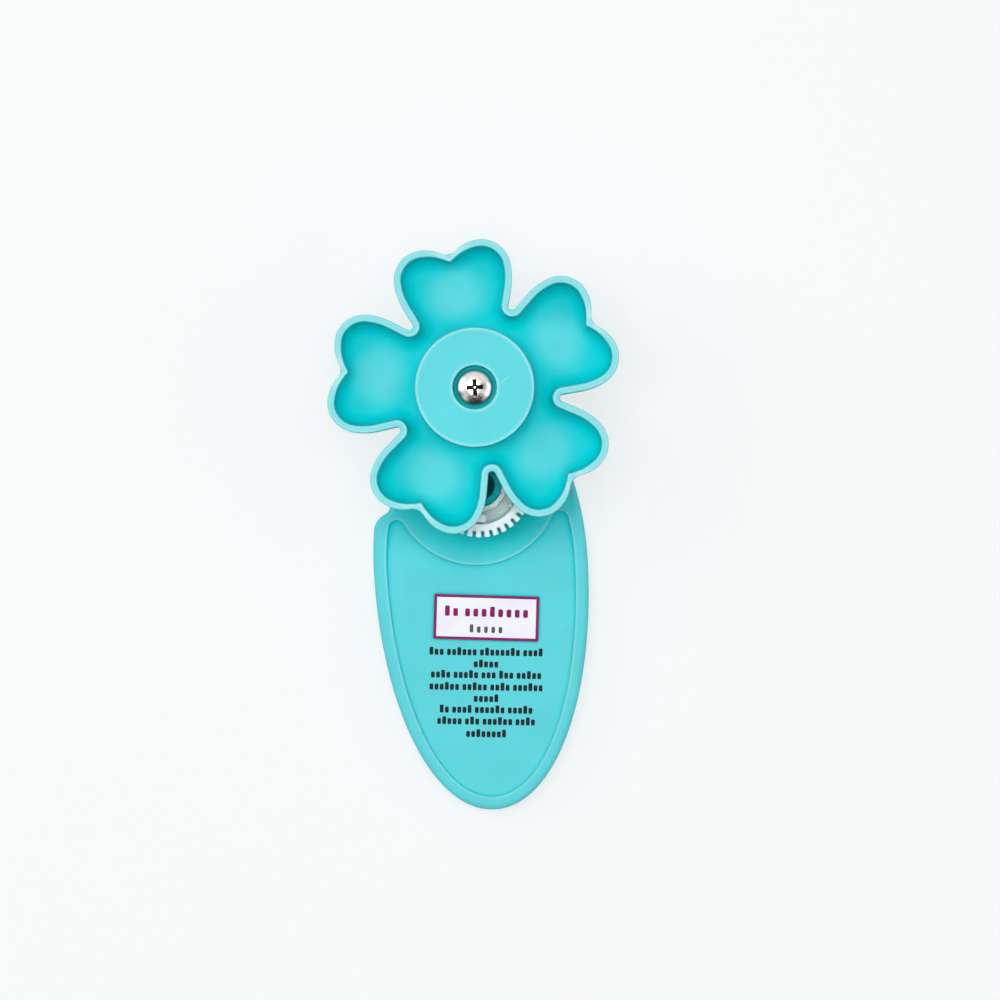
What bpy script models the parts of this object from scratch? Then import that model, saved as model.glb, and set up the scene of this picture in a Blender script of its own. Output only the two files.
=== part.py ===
"""Paper crimper: a leaf-shaped base, two levels of meshing gears and a flower knob.

The origin is on the underside, below the idler gears' axis. +Y runs towards the
knob, +Z is up. Paper strips pass between the gears along X.
"""
import math

import bmesh
import bpy
from mathutils import Matrix, Vector

MM = 0.001

# Fits
SEAT_GAP = 0.3 * MM             # between faces that rest on each other
RUN_GAP = 0.3 * MM              # radial clearance of what turns or slides in

# Gear axes: the idler turns at the origin, the knob at this distance along +Y
GEAR_CENTRES = 23.2 * MM

# Base outline, seen from above
LEAF_AXIS_X = -1.1 * MM         # the handle's middle line, beside the gear axes
LEAF_HALF_WIDTH = 25.9 * MM
LEAF_WIDEST_Y = -19.2 * MM
LEAF_TIP_LENGTH = 59.1 * MM     # from the widest line to the tip
LEAF_RISE = 46.0 * MM           # the upper ellipse's half axis
LEAF_FULLNESS = 2.05            # 2 is a true ellipse, more is squarer
HEAD_RADIUS = 16.2 * MM         # round end under the knob
SHOULDER_RISE = 9.9 * MM        # the left shoulder's start above the widest line
SHOULDER_RADIUS = 4.6 * MM
SHOULDER_SLOPE = math.radians(30)
SHOULDER_FLAT = 1.2 * MM
SHOULDER_FILLET = 1.6 * MM

# Base section
BASE_HEIGHT = 10.0 * MM
EDGE_RADIUS = 2.2 * MM
SIDE_WALL = 2.0 * MM
TOP_WALL = 2.0 * MM
PANEL_DEPTH = 0.8 * MM

# Sunk panel of the handle, which ends at the round deck under the gears
PANEL_BORDER = 3.2 * MM
DECK_FRONT = 19.15 * MM         # the deck's edge, below the idler axis
HORN_RISE = 10.0 * MM           # the panel's upper corners above that edge
HORN_RADIUS = 2.0 * MM
HORN_DRAW_IN = 1.0 * MM

# Bottom cover and its screws
COVER_THICKNESS = 2.4 * MM
SCREW_HEAD_RADIUS = 2.8 * MM
SCREW_HEAD_HEIGHT = 1.0 * MM
SCREW_HEAD_CHAMFER = 0.3 * MM
SCREW_HEAD_SINK = 0.1 * MM      # the heads lie inside the underside
SCREW_RADIUS = 1.2 * MM
SCREW_TIP_ROOM = 0.9 * MM       # pilot hole left past each screw's end
BOSS_WALL = 1.7 * MM
SCREW_MARGIN = 1.3 * MM         # cover left outside each counterbore
HANDLE_SCREWS_Y = -30.0 * MM
NECK_SCREWS_Y = 8.0 * MM

# Gears: both levels have the same count, the upper teeth are deep, the lower shallow
TEETH = 36
MESH_PHASE = math.radians(-0.6)     # the idler's slot beside the line of centres
GEAR_FACE = 9.0 * MM                # width of each level
DEEP_ADDENDUM = 0.70 * MM
SHALLOW_ADDENDUM = 0.40 * MM
TIP_CLEARANCE = 0.20 * MM           # slots are this much deeper than the teeth are high
TOOTH_TIP_SHARE = 0.30              # tooth widths as shares of the pitch
TOOTH_ROOT_SHARE = 0.54
DEEP_CHAMFER = 0.18 * MM
RIM_DEPTH = 1.5 * MM                # solid ring inside the deep teeth
WEB_DEPTH = 2.0 * MM
COLLAR_RING = 1.15 * MM             # ring round the idler's bore
COLLAR_DROP = 0.4 * MM
LUG_COUNT = 4
LUG_ANGLE = math.radians(266.8)
LUG_WIDTH = 2.3 * MM
LUG_GAP = 0.5 * MM                  # between a lug and the ring round the bore

# Idler post, washers and spacers
POST_RADIUS = 4.95 * MM
POST_HOLE_RADIUS = 3.3 * MM
POST_FLOOR = 1.8 * MM               # closes the hole above the handle's hollow
POST_DROP = 3.0 * MM                # the post ends below the upper gear's face
WASHER_THICKNESS = 0.8 * MM
WASHER_WIDTH = 2.2 * MM
SPACER_THICKNESS = 0.6 * MM

# Drive shaft and its bush
HEX_FLATS = 6.0 * MM
JOURNAL_STEP = 0.15 * MM            # the round part stands proud of the corners
FOOT_LIP = 1.7 * MM                 # collar at the shaft's foot, past the bush's bore
FOOT_THICKNESS = 1.4 * MM
BUSH_WALL = 0.95 * MM
BUSH_FLANGE_WIDTH = 2.0 * MM
HOUSING_WALL = 2.0 * MM

# Flower knob
PETALS = 5
PETAL_PHASE = math.radians(25.9)
LOBE_REACH = 27.1 * MM              # the lobe circles' centres along the petal
LOBE_SPREAD = 6.95 * MM             # and beside its middle line
LOBE_RADIUS = 7.0 * MM
BROW_EXTRA = 2.0 * MM               # the petal's front is this much flatter
TIP_FILLET = 4.1 * MM               # dent in the petal's tip
SIDE_RADIUS = 15.0 * MM
SIDE_START = math.radians(86.4)
GAP_TAPER = math.radians(16)        # from the gap's middle line to each petal's side
NOTCH_RADIUS = 0.88 * MM            # round end of the gap between petals
KNOB_LIFT = 1.2 * MM                # underside above the upper gears
KNOB_HEIGHT = 11.9 * MM
KNOB_FLOOR = 2.2 * MM
KNOB_WALL = 1.65 * MM
FLOOR_FILLET = 2.0 * MM
HUB_RADIUS = 14.1 * MM
HUB_WALL = 2.0 * MM
HUB_DROP = 0.5 * MM                 # the hub's face below the petals' rims
HUB_WEB = 2.5 * MM                  # floor of the recess, over the shaft
RECESS_GAP = 0.78 * MM              # round the washer in the recess
SOCKET_WALL = 1.82 * MM             # round the recess, down to the shaft's socket

# Knob screw and its washer
KNOB_SCREW_RADIUS = 1.95 * MM
KNOB_SCREW_LENGTH = 12.0 * MM
KNOB_HEAD_RADIUS = 3.9 * MM
KNOB_HEAD_HEIGHT = 2.6 * MM
KNOB_HEAD_BRIM = 0.65 * MM          # upright edge below the head's dome
KNOB_HEAD_SINK = 0.9 * MM           # the head's top below the hub's face
KNOB_WASHER_LIP = 0.5 * MM          # the washer shows this far round the head
KNOB_WASHER_THICKNESS = 0.7 * MM
THREAD_ROOM = 1.6 * MM              # threaded hole left past the screw's end
CROSS_SHARE = 0.5                   # cross recess, as a share of the head's radius
CROSS_SLOT = 0.9 * MM
CROSS_TAPER = 0.75                  # each arm narrows to this share at its end
CROSS_DEPTH_SHARE = 0.5

# Label on the panel
LABEL_WIDTH = 25.4 * MM
LABEL_HEIGHT = 10.9 * MM
LABEL_THICKNESS = 0.3 * MM
LABEL_GAP = 0.15 * MM
LABEL_X = -0.5 * MM
LABEL_DROP = 12.75 * MM             # its middle below the deck's edge
LABEL_TURN = math.radians(-4.9)

# Levels that follow from the sizes above
PANEL_LEVEL = BASE_HEIGHT - PANEL_DEPTH
CEILING = PANEL_LEVEL - TOP_WALL
BOSS_FOOT = COVER_THICKNESS + SEAT_GAP
WASHER_BOTTOM = BASE_HEIGHT + SEAT_GAP
WASHER_TOP = WASHER_BOTTOM + WASHER_THICKNESS
LOWER_BOTTOM = WASHER_TOP + SEAT_GAP
LOWER_TOP = LOWER_BOTTOM + GEAR_FACE
SPACER_BOTTOM = LOWER_TOP + SEAT_GAP
SPACER_TOP = SPACER_BOTTOM + SPACER_THICKNESS
UPPER_BOTTOM = SPACER_TOP + SEAT_GAP
UPPER_TOP = UPPER_BOTTOM + GEAR_FACE
POST_TOP = UPPER_TOP - POST_DROP
KNOB_BOTTOM = UPPER_TOP + KNOB_LIFT
SOCKET_BOTTOM = UPPER_TOP + SEAT_GAP
FLOOR_LEVEL = KNOB_BOTTOM + KNOB_FLOOR
RIM_TOP = KNOB_BOTTOM + KNOB_HEIGHT
HUB_TOP = RIM_TOP - HUB_DROP
KNOB_HEAD_TOP = HUB_TOP - KNOB_HEAD_SINK
KNOB_HEAD_BOTTOM = KNOB_HEAD_TOP - KNOB_HEAD_HEIGHT
KNOB_SCREW_TIP = KNOB_HEAD_BOTTOM - KNOB_SCREW_LENGTH
KNOB_WASHER_TOP = KNOB_HEAD_BOTTOM - SEAT_GAP
KNOB_WASHER_BOTTOM = KNOB_WASHER_TOP - KNOB_WASHER_THICKNESS
RECESS_FLOOR = KNOB_WASHER_BOTTOM - SEAT_GAP
SOCKET_TOP = RECESS_FLOOR - HUB_WEB
SHAFT_TOP = SOCKET_TOP - SEAT_GAP
FOOT_BOTTOM = COVER_THICKNESS + SEAT_GAP
FOOT_TOP = FOOT_BOTTOM + FOOT_THICKNESS
BUSH_BOTTOM = FOOT_TOP + SEAT_GAP
SCREW_HEAD_TOP = SCREW_HEAD_SINK + SCREW_HEAD_HEIGHT
COUNTERBORE_DEPTH = SCREW_HEAD_TOP + SEAT_GAP
SCREW_TOP = CEILING - SCREW_TIP_ROOM

# Radii that follow
PITCH_RADIUS = GEAR_CENTRES / 2
TOOTH_PITCH = 2 * math.pi * PITCH_RADIUS / TEETH
RIM_RADIUS = PITCH_RADIUS - DEEP_ADDENDUM - TIP_CLEARANCE - RIM_DEPTH
IDLER_BORE = POST_RADIUS + RUN_GAP
COLLAR_RADIUS = IDLER_BORE + COLLAR_RING
HEX_CORNER = HEX_FLATS / math.sqrt(3)
HEX_BORE_CORNER = (HEX_FLATS + 2 * RUN_GAP) / math.sqrt(3)
JOURNAL_RADIUS = HEX_CORNER + JOURNAL_STEP
BUSH_BORE = JOURNAL_RADIUS + RUN_GAP
BUSH_RADIUS = BUSH_BORE + BUSH_WALL
BUSH_HOLE = BUSH_RADIUS + RUN_GAP
BUSH_FLANGE = BUSH_HOLE + BUSH_FLANGE_WIDTH
FOOT_RADIUS = BUSH_BORE + FOOT_LIP
PILOT_RADIUS = SCREW_RADIUS + RUN_GAP
BOSS_RADIUS = PILOT_RADIUS + BOSS_WALL
COUNTERBORE_RADIUS = SCREW_HEAD_RADIUS + RUN_GAP
KNOB_WASHER_RADIUS = KNOB_HEAD_RADIUS + KNOB_WASHER_LIP
RECESS_RADIUS = KNOB_WASHER_RADIUS + RECESS_GAP
SOCKET_RADIUS = max(RECESS_RADIUS, HEX_BORE_CORNER) + SOCKET_WALL

# Fineness
HUB_SIDES = 72                      # sides of the knob's hub
ROUND_SIDES = 48                    # sides of a visible circle
RING_SIDES = 32                     # sides of a washer or spacer
SMALL_SIDES = 16                    # sides of a screw, boss or pilot hole
LEAF_STEPS = 26                     # steps round the handle's end
LONG_STEPS = 18                     # steps of the head's and the deck's arcs
CORNER_STEPS = 6                    # steps of a corner's arc
SHORT_STEPS = 3                     # steps of a short or nearly flat arc
DOME_STEPS = 4
EDGE_SEGMENTS = 3                   # of the base's rounded edge
FLOOR_SEGMENTS = 2                  # of the fillet inside the petals
SHARP_ANGLE = math.radians(35)      # edges that turn more than this stay sharp
SAME = 1e-6                         # points closer than this are one
SEARCH_STEPS = 50
CUT_OVER = 1.0 * MM                 # how far a cutter runs past what it cuts
FUSE_IN = 0.8 * MM                  # how far a joined piece reaches into its neighbour


def clear_scene():
    for item in list(bpy.data.objects):
        bpy.data.objects.remove(item, do_unlink=True)
    for group in list(bpy.data.collections):
        bpy.data.collections.remove(group)


def make_collection(name):
    group = bpy.data.collections.new(name)
    bpy.context.scene.collection.children.link(group)
    return group


def make_material(name, colour, roughness, metallic=0.0):
    material = bpy.data.materials.new(name)
    material.use_nodes = True
    shader = material.node_tree.nodes["Principled BSDF"]
    shader.inputs["Base Color"].default_value = (*colour, 1.0)
    shader.inputs["Roughness"].default_value = roughness
    shader.inputs["Metallic"].default_value = metallic
    material.diffuse_color = (*colour, 1.0)
    return material


clear_scene()
PARTS = make_collection("paper_crimper")
CUTTERS = make_collection("cutters")
TEAL = make_material("teal_plastic", (0.09, 0.70, 0.75), 0.42)
WHITE = make_material("white_plastic", (0.86, 0.88, 0.87), 0.38)
STEEL = make_material("plated_steel", (0.66, 0.64, 0.62), 0.25, 1.0)
PAPER = make_material("label_paper", (0.92, 0.91, 0.95), 0.35)


def polar(centre, radius, angle):
    return (centre[0] + radius * math.cos(angle), centre[1] + radius * math.sin(angle))


def arc(centre, radius, start, end, steps):
    """Points along an arc, both ends included."""
    return [polar(centre, radius, start + (end - start) * i / steps) for i in range(steps + 1)]


def circle(radius, sides=ROUND_SIDES):
    return [polar((0.0, 0.0), radius, 2 * math.pi * i / sides) for i in range(sides)]


def mirrored(points, x):
    """The same outline on the other side of the line at x, still counter-clockwise."""
    return [(2 * x - px, py) for px, py in reversed(points)]


def rotated(points, angle):
    cos, sin = math.cos(angle), math.sin(angle)
    return [(x * cos - y * sin, x * sin + y * cos) for x, y in points]


def offset_outline(points, distance):
    """Move a closed counter-clockwise outline inwards by a distance."""
    moved = []
    count = len(points)
    for i, point in enumerate(points):
        before = Vector(point) - Vector(points[i - 1])
        after = Vector(points[(i + 1) % count]) - Vector(point)
        before.normalize()
        after.normalize()
        normal = Vector((-before.y - after.y, before.x + after.x))
        normal.normalize()
        spread = normal.dot(Vector((-before.y, before.x)))
        moved.append(tuple(Vector(point) + normal * (distance / spread)))
    return moved


def lower_leaf(half_width, length):
    """The handle's rounded end, from its left widest point round to the right one."""
    power = 2 / LEAF_FULLNESS
    points = []
    for i in range(LEAF_STEPS + 1):
        angle = math.pi * i / LEAF_STEPS
        across = math.copysign(abs(math.cos(angle)) ** power, math.cos(angle))
        along = abs(math.sin(angle)) ** power
        points.append((LEAF_AXIS_X - half_width * across, LEAF_WIDEST_Y - length * along))
    return points


def right_tangent():
    """Parameter of the upper ellipse where its tangent also touches the head's circle."""
    def excess(t):
        normal = Vector((LEAF_RISE * math.cos(t), LEAF_HALF_WIDTH * math.sin(t))).normalized()
        point = Vector((LEAF_AXIS_X + LEAF_HALF_WIDTH * math.cos(t),
                        LEAF_WIDEST_Y + LEAF_RISE * math.sin(t) - GEAR_CENTRES))
        return normal.dot(point) - HEAD_RADIUS

    low, high = 0.0, math.pi / 2
    for _ in range(SEARCH_STEPS):
        middle = (low + high) / 2
        if excess(middle) > 0:
            low = middle
        else:
            high = middle
    return low


def leaf_outline():
    """The base seen from above: leaf, left shoulder and the round head under the knob."""
    head = (0.0, GEAR_CENTRES)
    end = right_tangent()
    right = [(LEAF_AXIS_X + LEAF_HALF_WIDTH * math.cos(t), LEAF_WIDEST_Y + LEAF_RISE * math.sin(t))
             for t in (end * i / CORNER_STEPS for i in range(1, CORNER_STEPS + 1))]
    right_normal = math.atan2(LEAF_HALF_WIDTH * math.sin(end), LEAF_RISE * math.cos(end))

    start = math.asin(SHOULDER_RISE / LEAF_RISE)
    corner_normal = math.pi - math.atan2(LEAF_HALF_WIDTH * math.sin(start), LEAF_RISE * math.cos(start))
    corner_start = (LEAF_AXIS_X - LEAF_HALF_WIDTH * math.cos(start), LEAF_WIDEST_Y + SHOULDER_RISE)
    corner = polar(corner_start, -SHOULDER_RADIUS, corner_normal)
    flat_normal = math.pi / 2 + SHOULDER_SLOPE
    flat_end = polar(polar(corner, SHOULDER_RADIUS, flat_normal), SHOULDER_FLAT, SHOULDER_SLOPE)
    fillet = polar(flat_end, SHOULDER_FILLET, flat_normal)
    to_fillet = Vector(fillet) - Vector(head)
    left_normal = (math.atan2(to_fillet.y, to_fillet.x) + 2 * math.pi
                   - math.acos((HEAD_RADIUS + SHOULDER_FILLET) / to_fillet.length))
    left = [(LEAF_AXIS_X - LEAF_HALF_WIDTH * math.cos(t), LEAF_WIDEST_Y + LEAF_RISE * math.sin(t))
            for t in (start * i / SHORT_STEPS for i in range(SHORT_STEPS - 1, 0, -1))]
    return (right
            + arc(head, HEAD_RADIUS, right_normal, left_normal, LONG_STEPS)
            + arc(fillet, SHOULDER_FILLET, left_normal + math.pi, flat_normal + math.pi, SHORT_STEPS)
            + arc(corner, SHOULDER_RADIUS, flat_normal, corner_normal, CORNER_STEPS)
            + left
            + lower_leaf(LEAF_HALF_WIDTH, LEAF_TIP_LENGTH))


def panel_outline():
    """The sunk panel: the leaf less its border, cut off by the deck's round edge."""
    half_width = LEAF_HALF_WIDTH - PANEL_BORDER
    draw_in = HORN_RADIUS + HORN_DRAW_IN
    horn = (LEAF_AXIS_X + half_width - draw_in, HORN_RISE - DECK_FRONT)
    reach = horn[0] - LEAF_AXIS_X
    deck_radius = (reach ** 2 + HORN_RISE ** 2 - HORN_RADIUS ** 2) / (2 * (HORN_RISE + HORN_RADIUS))
    deck = (LEAF_AXIS_X, deck_radius - DECK_FRONT)
    climb = horn[1] - LEAF_WIDEST_Y
    side_radius = (draw_in ** 2 + climb ** 2 - HORN_RADIUS ** 2) / (2 * HORN_DRAW_IN)
    side = (LEAF_AXIS_X + half_width - side_radius, LEAF_WIDEST_Y)
    side_end = math.atan2(climb, side_radius - draw_in)
    horn_end = math.atan2(deck[1] - horn[1], deck[0] - horn[0])
    right = (arc(side, side_radius, 0.0, side_end, SHORT_STEPS)[1:-1]
             + arc(horn, HORN_RADIUS, side_end, horn_end, CORNER_STEPS)
             + arc(deck, deck_radius, horn_end - math.pi, -math.pi / 2, LONG_STEPS)[1:])
    return right + mirrored(right, LEAF_AXIS_X)[1:] + lower_leaf(
        half_width, LEAF_TIP_LENGTH - PANEL_BORDER)


def half_petal():
    """From the dent in the petal's tip to the gap beside it; the petal lies along +X."""
    lobe = (LOBE_REACH, LOBE_SPREAD)
    brow = (LOBE_REACH - BROW_EXTRA, LOBE_SPREAD)
    brow_radius = LOBE_RADIUS + BROW_EXTRA
    dent_x = brow[0] + math.sqrt((brow_radius + TIP_FILLET) ** 2 - LOBE_SPREAD ** 2)
    dent_end = math.atan2(LOBE_SPREAD, brow[0] - dent_x)
    side = polar(lobe, LOBE_RADIUS - SIDE_RADIUS, SIDE_START)
    gap_angle = math.pi / PETALS
    side_normal = math.pi / 2 + gap_angle - GAP_TAPER
    side_end = polar(side, SIDE_RADIUS, side_normal)
    lean = side_end[0] * math.cos(side_normal) + side_end[1] * math.sin(side_normal)
    notch = polar((0.0, 0.0), (lean + NOTCH_RADIUS) / math.sin(GAP_TAPER), gap_angle)
    return (arc((dent_x, 0.0), TIP_FILLET, math.pi, dent_end, SHORT_STEPS)
            + arc(brow, brow_radius, dent_end - math.pi, 0.0, SHORT_STEPS)[1:]
            + arc(lobe, LOBE_RADIUS, 0.0, SIDE_START, CORNER_STEPS)[1:]
            + arc(side, SIDE_RADIUS, SIDE_START, side_normal, SHORT_STEPS)[1:]
            + arc(notch, NOTCH_RADIUS, side_normal - math.pi, gap_angle - math.pi, SHORT_STEPS))


def flower_outline():
    half = half_petal()
    petal = [(x, -y) for x, y in reversed(half)] + half[1:-1]
    points = []
    for i in range(PETALS):
        points += rotated(petal, PETAL_PHASE + 2 * math.pi * i / PETALS)
    return points


def gear_outline(addendum, phase, chamfer=0.0):
    """Straight-flanked teeth, with any chamfer at their tips and slot floors."""
    root = PITCH_RADIUS - addendum - TIP_CLEARANCE
    tip = PITCH_RADIUS + addendum
    tip_half = TOOTH_PITCH * TOOTH_TIP_SHARE / 2
    root_half = TOOTH_PITCH * TOOTH_ROOT_SHARE / 2
    half_tooth = [(root, root_half), (tip, tip_half)]
    if chamfer > 0:
        half_tooth = [(root, root_half + chamfer), (root + chamfer, root_half),
                      (tip - chamfer, tip_half), (tip, tip_half - chamfer)]
    points = []
    for i in range(TEETH):
        middle = phase + 2 * math.pi * i / TEETH
        points += [polar((0, 0), radius, middle - half / radius) for radius, half in half_tooth]
        points += [polar((0, 0), radius, middle + half / radius) for radius, half in reversed(half_tooth)]
    return points


def shade(mesh):
    mesh.shade_smooth()
    mesh.set_sharp_from_angle(angle=SHARP_ANGLE)


def add_object(name, mesh, material, parent=None, cutter=False):
    item = bpy.data.objects.new(name, mesh)
    item.parent = parent
    (CUTTERS if cutter else PARTS).objects.link(item)
    if cutter:
        item.hide_render = True
        item.display_type = "WIRE"
    else:
        mesh.materials.clear()
        mesh.materials.append(material)
    return item


def outline_mesh(name, loops, bottom, top):
    """A flat outline, with any holes as further loops, given its thickness."""
    curve = bpy.data.curves.new(name, "CURVE")
    curve.dimensions = "2D"
    curve.fill_mode = "BOTH"
    curve.extrude = (top - bottom) / 2
    for loop in loops:
        spline = curve.splines.new("POLY")
        spline.points.add(len(loop) - 1)
        for point, (x, y) in zip(spline.points, loop):
            point.co = (x, y, 0.0, 1.0)
        spline.use_cyclic_u = True
    source = bpy.data.objects.new(name + "_outline", curve)
    source.location.z = (bottom + top) / 2
    bpy.context.scene.collection.objects.link(source)
    bpy.context.view_layer.update()
    evaluated = source.evaluated_get(bpy.context.evaluated_depsgraph_get())
    mesh = bpy.data.meshes.new_from_object(evaluated)
    mesh.transform(source.matrix_world)
    mesh.name = name
    bpy.data.objects.remove(source, do_unlink=True)
    shell = bmesh.new()
    shell.from_mesh(mesh)
    bmesh.ops.remove_doubles(shell, verts=shell.verts, dist=SAME)
    inner = [edge for edge in shell.edges
             if all(abs(face.normal.z) > math.cos(SHARP_ANGLE) for face in edge.link_faces)]
    bmesh.ops.dissolve_edges(shell, edges=inner, use_verts=False)
    bmesh.ops.recalc_face_normals(shell, faces=shell.faces)
    shell.to_mesh(mesh)
    shell.free()
    shade(mesh)
    return mesh


def round_edges(item, level, radius, segments):
    """Round the outer edges that lie at one level."""
    shell = bmesh.new()
    shell.from_mesh(item.data)
    weight = shell.edges.layers.float.new("bevel_weight_edge")
    for edge in shell.edges:
        if all(abs(vert.co.z - level) < SAME for vert in edge.verts):
            edge[weight] = 1.0
    shell.to_mesh(item.data)
    shell.free()
    bevel = item.modifiers.new("round_edge", "BEVEL")
    bevel.limit_method = "WEIGHT"
    bevel.width = radius
    bevel.segments = segments


def turned(name, profile, material, parent=None, steps=RING_SIDES, closed=False):
    """Turn a profile of (radius, height) points, listed down its outer side, about Z."""
    mesh = bpy.data.meshes.new(name)
    edges = [(i, i + 1) for i in range(len(profile) - 1)]
    if closed:
        edges.append((len(profile) - 1, 0))
    mesh.from_pydata([(radius, 0.0, height) for radius, height in profile], edges, [])
    item = add_object(name, mesh, material, parent)
    screw = item.modifiers.new("turn", "SCREW")
    screw.axis = "Z"
    screw.angle = 2 * math.pi
    screw.steps = steps
    screw.render_steps = steps
    screw.use_merge_vertices = True
    screw.merge_threshold = SAME
    screw.use_smooth_shade = True
    return item


def ring(name, inner, outer, bottom, top, material, parent=None):
    """A plain washer or spacer."""
    profile = [(inner, top), (outer, top), (outer, bottom), (inner, bottom)]
    return turned(name, profile, material, parent, closed=True)


def cylinders(name, rods, parent=None, sides=SMALL_SIDES):
    """A helper of upright rods, each (x, y, radius, bottom, top)."""
    shell = bmesh.new()
    for x, y, radius, bottom, top in rods:
        bmesh.ops.create_cone(shell, cap_ends=True, segments=sides, radius1=radius, radius2=radius,
                              depth=top - bottom, matrix=Matrix.Translation((x, y, (bottom + top) / 2)))
    mesh = bpy.data.meshes.new(name)
    shell.to_mesh(mesh)
    shell.free()
    shade(mesh)
    return add_object(name, mesh, None, parent, cutter=True)


def helper_outline(name, loops, bottom, top, parent=None):
    return add_object(name, outline_mesh(name, loops, bottom, top), None, parent, cutter=True)


def combine(item, helper, operation):
    boolean = item.modifiers.new(helper.name, "BOOLEAN")
    boolean.operation = operation
    boolean.solver = "EXACT"
    boolean.object = helper


def cut(item, helper):
    combine(item, helper, "DIFFERENCE")


def fuse(item, helper):
    combine(item, helper, "UNION")


def screw_places():
    """One cover screw near the tip, two in the handle and two at the neck."""
    inset = SIDE_WALL + RUN_GAP + COUNTERBORE_RADIUS + SCREW_MARGIN
    drop = (LEAF_WIDEST_Y - HANDLE_SCREWS_Y) / LEAF_TIP_LENGTH
    handle_x = LEAF_HALF_WIDTH * math.sqrt(1 - drop ** 2) - inset
    climb = (NECK_SCREWS_Y - LEAF_WIDEST_Y) / LEAF_RISE
    neck_x = (HEAD_RADIUS + LEAF_HALF_WIDTH * math.sqrt(1 - climb ** 2)) / 2 - inset + SCREW_MARGIN
    tip_y = LEAF_WIDEST_Y - LEAF_TIP_LENGTH + inset + SCREW_MARGIN
    return [(LEAF_AXIS_X, tip_y),
            (LEAF_AXIS_X - handle_x, HANDLE_SCREWS_Y), (LEAF_AXIS_X + handle_x, HANDLE_SCREWS_Y),
            (-neck_x, NECK_SCREWS_Y), (neck_x, NECK_SCREWS_Y)]


def build_base_shell():
    """Top moulding: deck, border, sunk panel, side wall, idler post, bosses and housing."""
    outline = leaf_outline()
    shell = add_object("base_shell", outline_mesh("base_shell", [outline], 0.0, BASE_HEIGHT), TEAL)
    round_edges(shell, BASE_HEIGHT, EDGE_RADIUS, EDGE_SEGMENTS)
    cut(shell, helper_outline("panel_recess", [panel_outline()], PANEL_LEVEL, BASE_HEIGHT + CUT_OVER))
    cut(shell, helper_outline("shell_hollow", [offset_outline(outline, SIDE_WALL)], -CUT_OVER, CEILING))
    bosses = [(x, y, BOSS_RADIUS, BOSS_FOOT, CEILING + FUSE_IN) for x, y in screw_places()]
    fuse(shell, cylinders("screw_bosses", bosses))
    towers = [(0.0, 0.0, POST_RADIUS, BASE_HEIGHT - FUSE_IN, POST_TOP),
              (0.0, GEAR_CENTRES, BUSH_HOLE + HOUSING_WALL, BUSH_BOTTOM, CEILING + FUSE_IN)]
    fuse(shell, cylinders("post_and_housing", towers, sides=ROUND_SIDES))
    bores = [(0.0, 0.0, POST_HOLE_RADIUS, CEILING + POST_FLOOR, POST_TOP + CUT_OVER),
             (0.0, GEAR_CENTRES, BUSH_HOLE, BUSH_BOTTOM - CUT_OVER, BASE_HEIGHT + CUT_OVER)]
    cut(shell, cylinders("post_and_bush_bores", bores, sides=ROUND_SIDES))
    pilots = [(x, y, PILOT_RADIUS, BOSS_FOOT - CUT_OVER, CEILING) for x, y in screw_places()]
    cut(shell, cylinders("pilot_holes", pilots))


def build_base_cover():
    """Flat bottom plate that drops inside the shell's wall."""
    outline = offset_outline(leaf_outline(), SIDE_WALL + RUN_GAP)
    cover = add_object("base_cover", outline_mesh("base_cover", [outline], 0.0, COVER_THICKNESS), TEAL)
    holes = [(x, y, PILOT_RADIUS, -CUT_OVER, COVER_THICKNESS + CUT_OVER) for x, y in screw_places()]
    cut(cover, cylinders("cover_holes", holes))
    sinks = [(x, y, COUNTERBORE_RADIUS, -CUT_OVER, COUNTERBORE_DEPTH) for x, y in screw_places()]
    cut(cover, cylinders("counterbores", sinks))


def cross_recess(name, head_radius, face, depth, parent=None):
    """A helper in the shape of a cross, for the driver."""
    half_length = head_radius * CROSS_SHARE
    half_slot = CROSS_SLOT / 2
    half_end = half_slot * CROSS_TAPER
    arm = [(half_end, -half_length), (half_slot, -half_slot), (half_length, -half_end)]
    points = []
    for i in range(4):
        points += rotated(arm, i * math.pi / 2)
    low, high = sorted((face - depth, face + math.copysign(CUT_OVER, depth)))
    return helper_outline(name, [points], low, high, parent)


def build_cover_screws():
    profile = [(0.0, SCREW_TOP), (SCREW_RADIUS / 2, SCREW_TOP), (SCREW_RADIUS, SCREW_TOP - SCREW_RADIUS),
               (SCREW_RADIUS, SCREW_HEAD_TOP), (SCREW_HEAD_RADIUS, SCREW_HEAD_TOP),
               (SCREW_HEAD_RADIUS, SCREW_HEAD_SINK + SCREW_HEAD_CHAMFER),
               (SCREW_HEAD_RADIUS - SCREW_HEAD_CHAMFER, SCREW_HEAD_SINK), (0.0, SCREW_HEAD_SINK)]
    depth = SCREW_HEAD_HEIGHT * CROSS_DEPTH_SHARE
    for i, (x, y) in enumerate(screw_places(), start=1):
        screw = turned(f"cover_screw_{i}", profile, STEEL, steps=SMALL_SIDES)
        screw.location = (x, y, 0.0)
        recess = cross_recess(f"cover_screw_recess_{i}", SCREW_HEAD_RADIUS, SCREW_HEAD_SINK, -depth)
        recess.location = screw.location
        cut(screw, recess)


def build_label():
    half_x, half_y = LABEL_WIDTH / 2, LABEL_HEIGHT / 2
    corners = [(-half_x, -half_y), (half_x, -half_y), (half_x, half_y), (-half_x, half_y)]
    mesh = outline_mesh("label", [corners], 0.0, LABEL_THICKNESS)
    label = add_object("label", mesh, PAPER)
    label.location = (LABEL_X, -DECK_FRONT - LABEL_DROP, PANEL_LEVEL + LABEL_GAP)
    label.rotation_euler.z = LABEL_TURN


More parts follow.
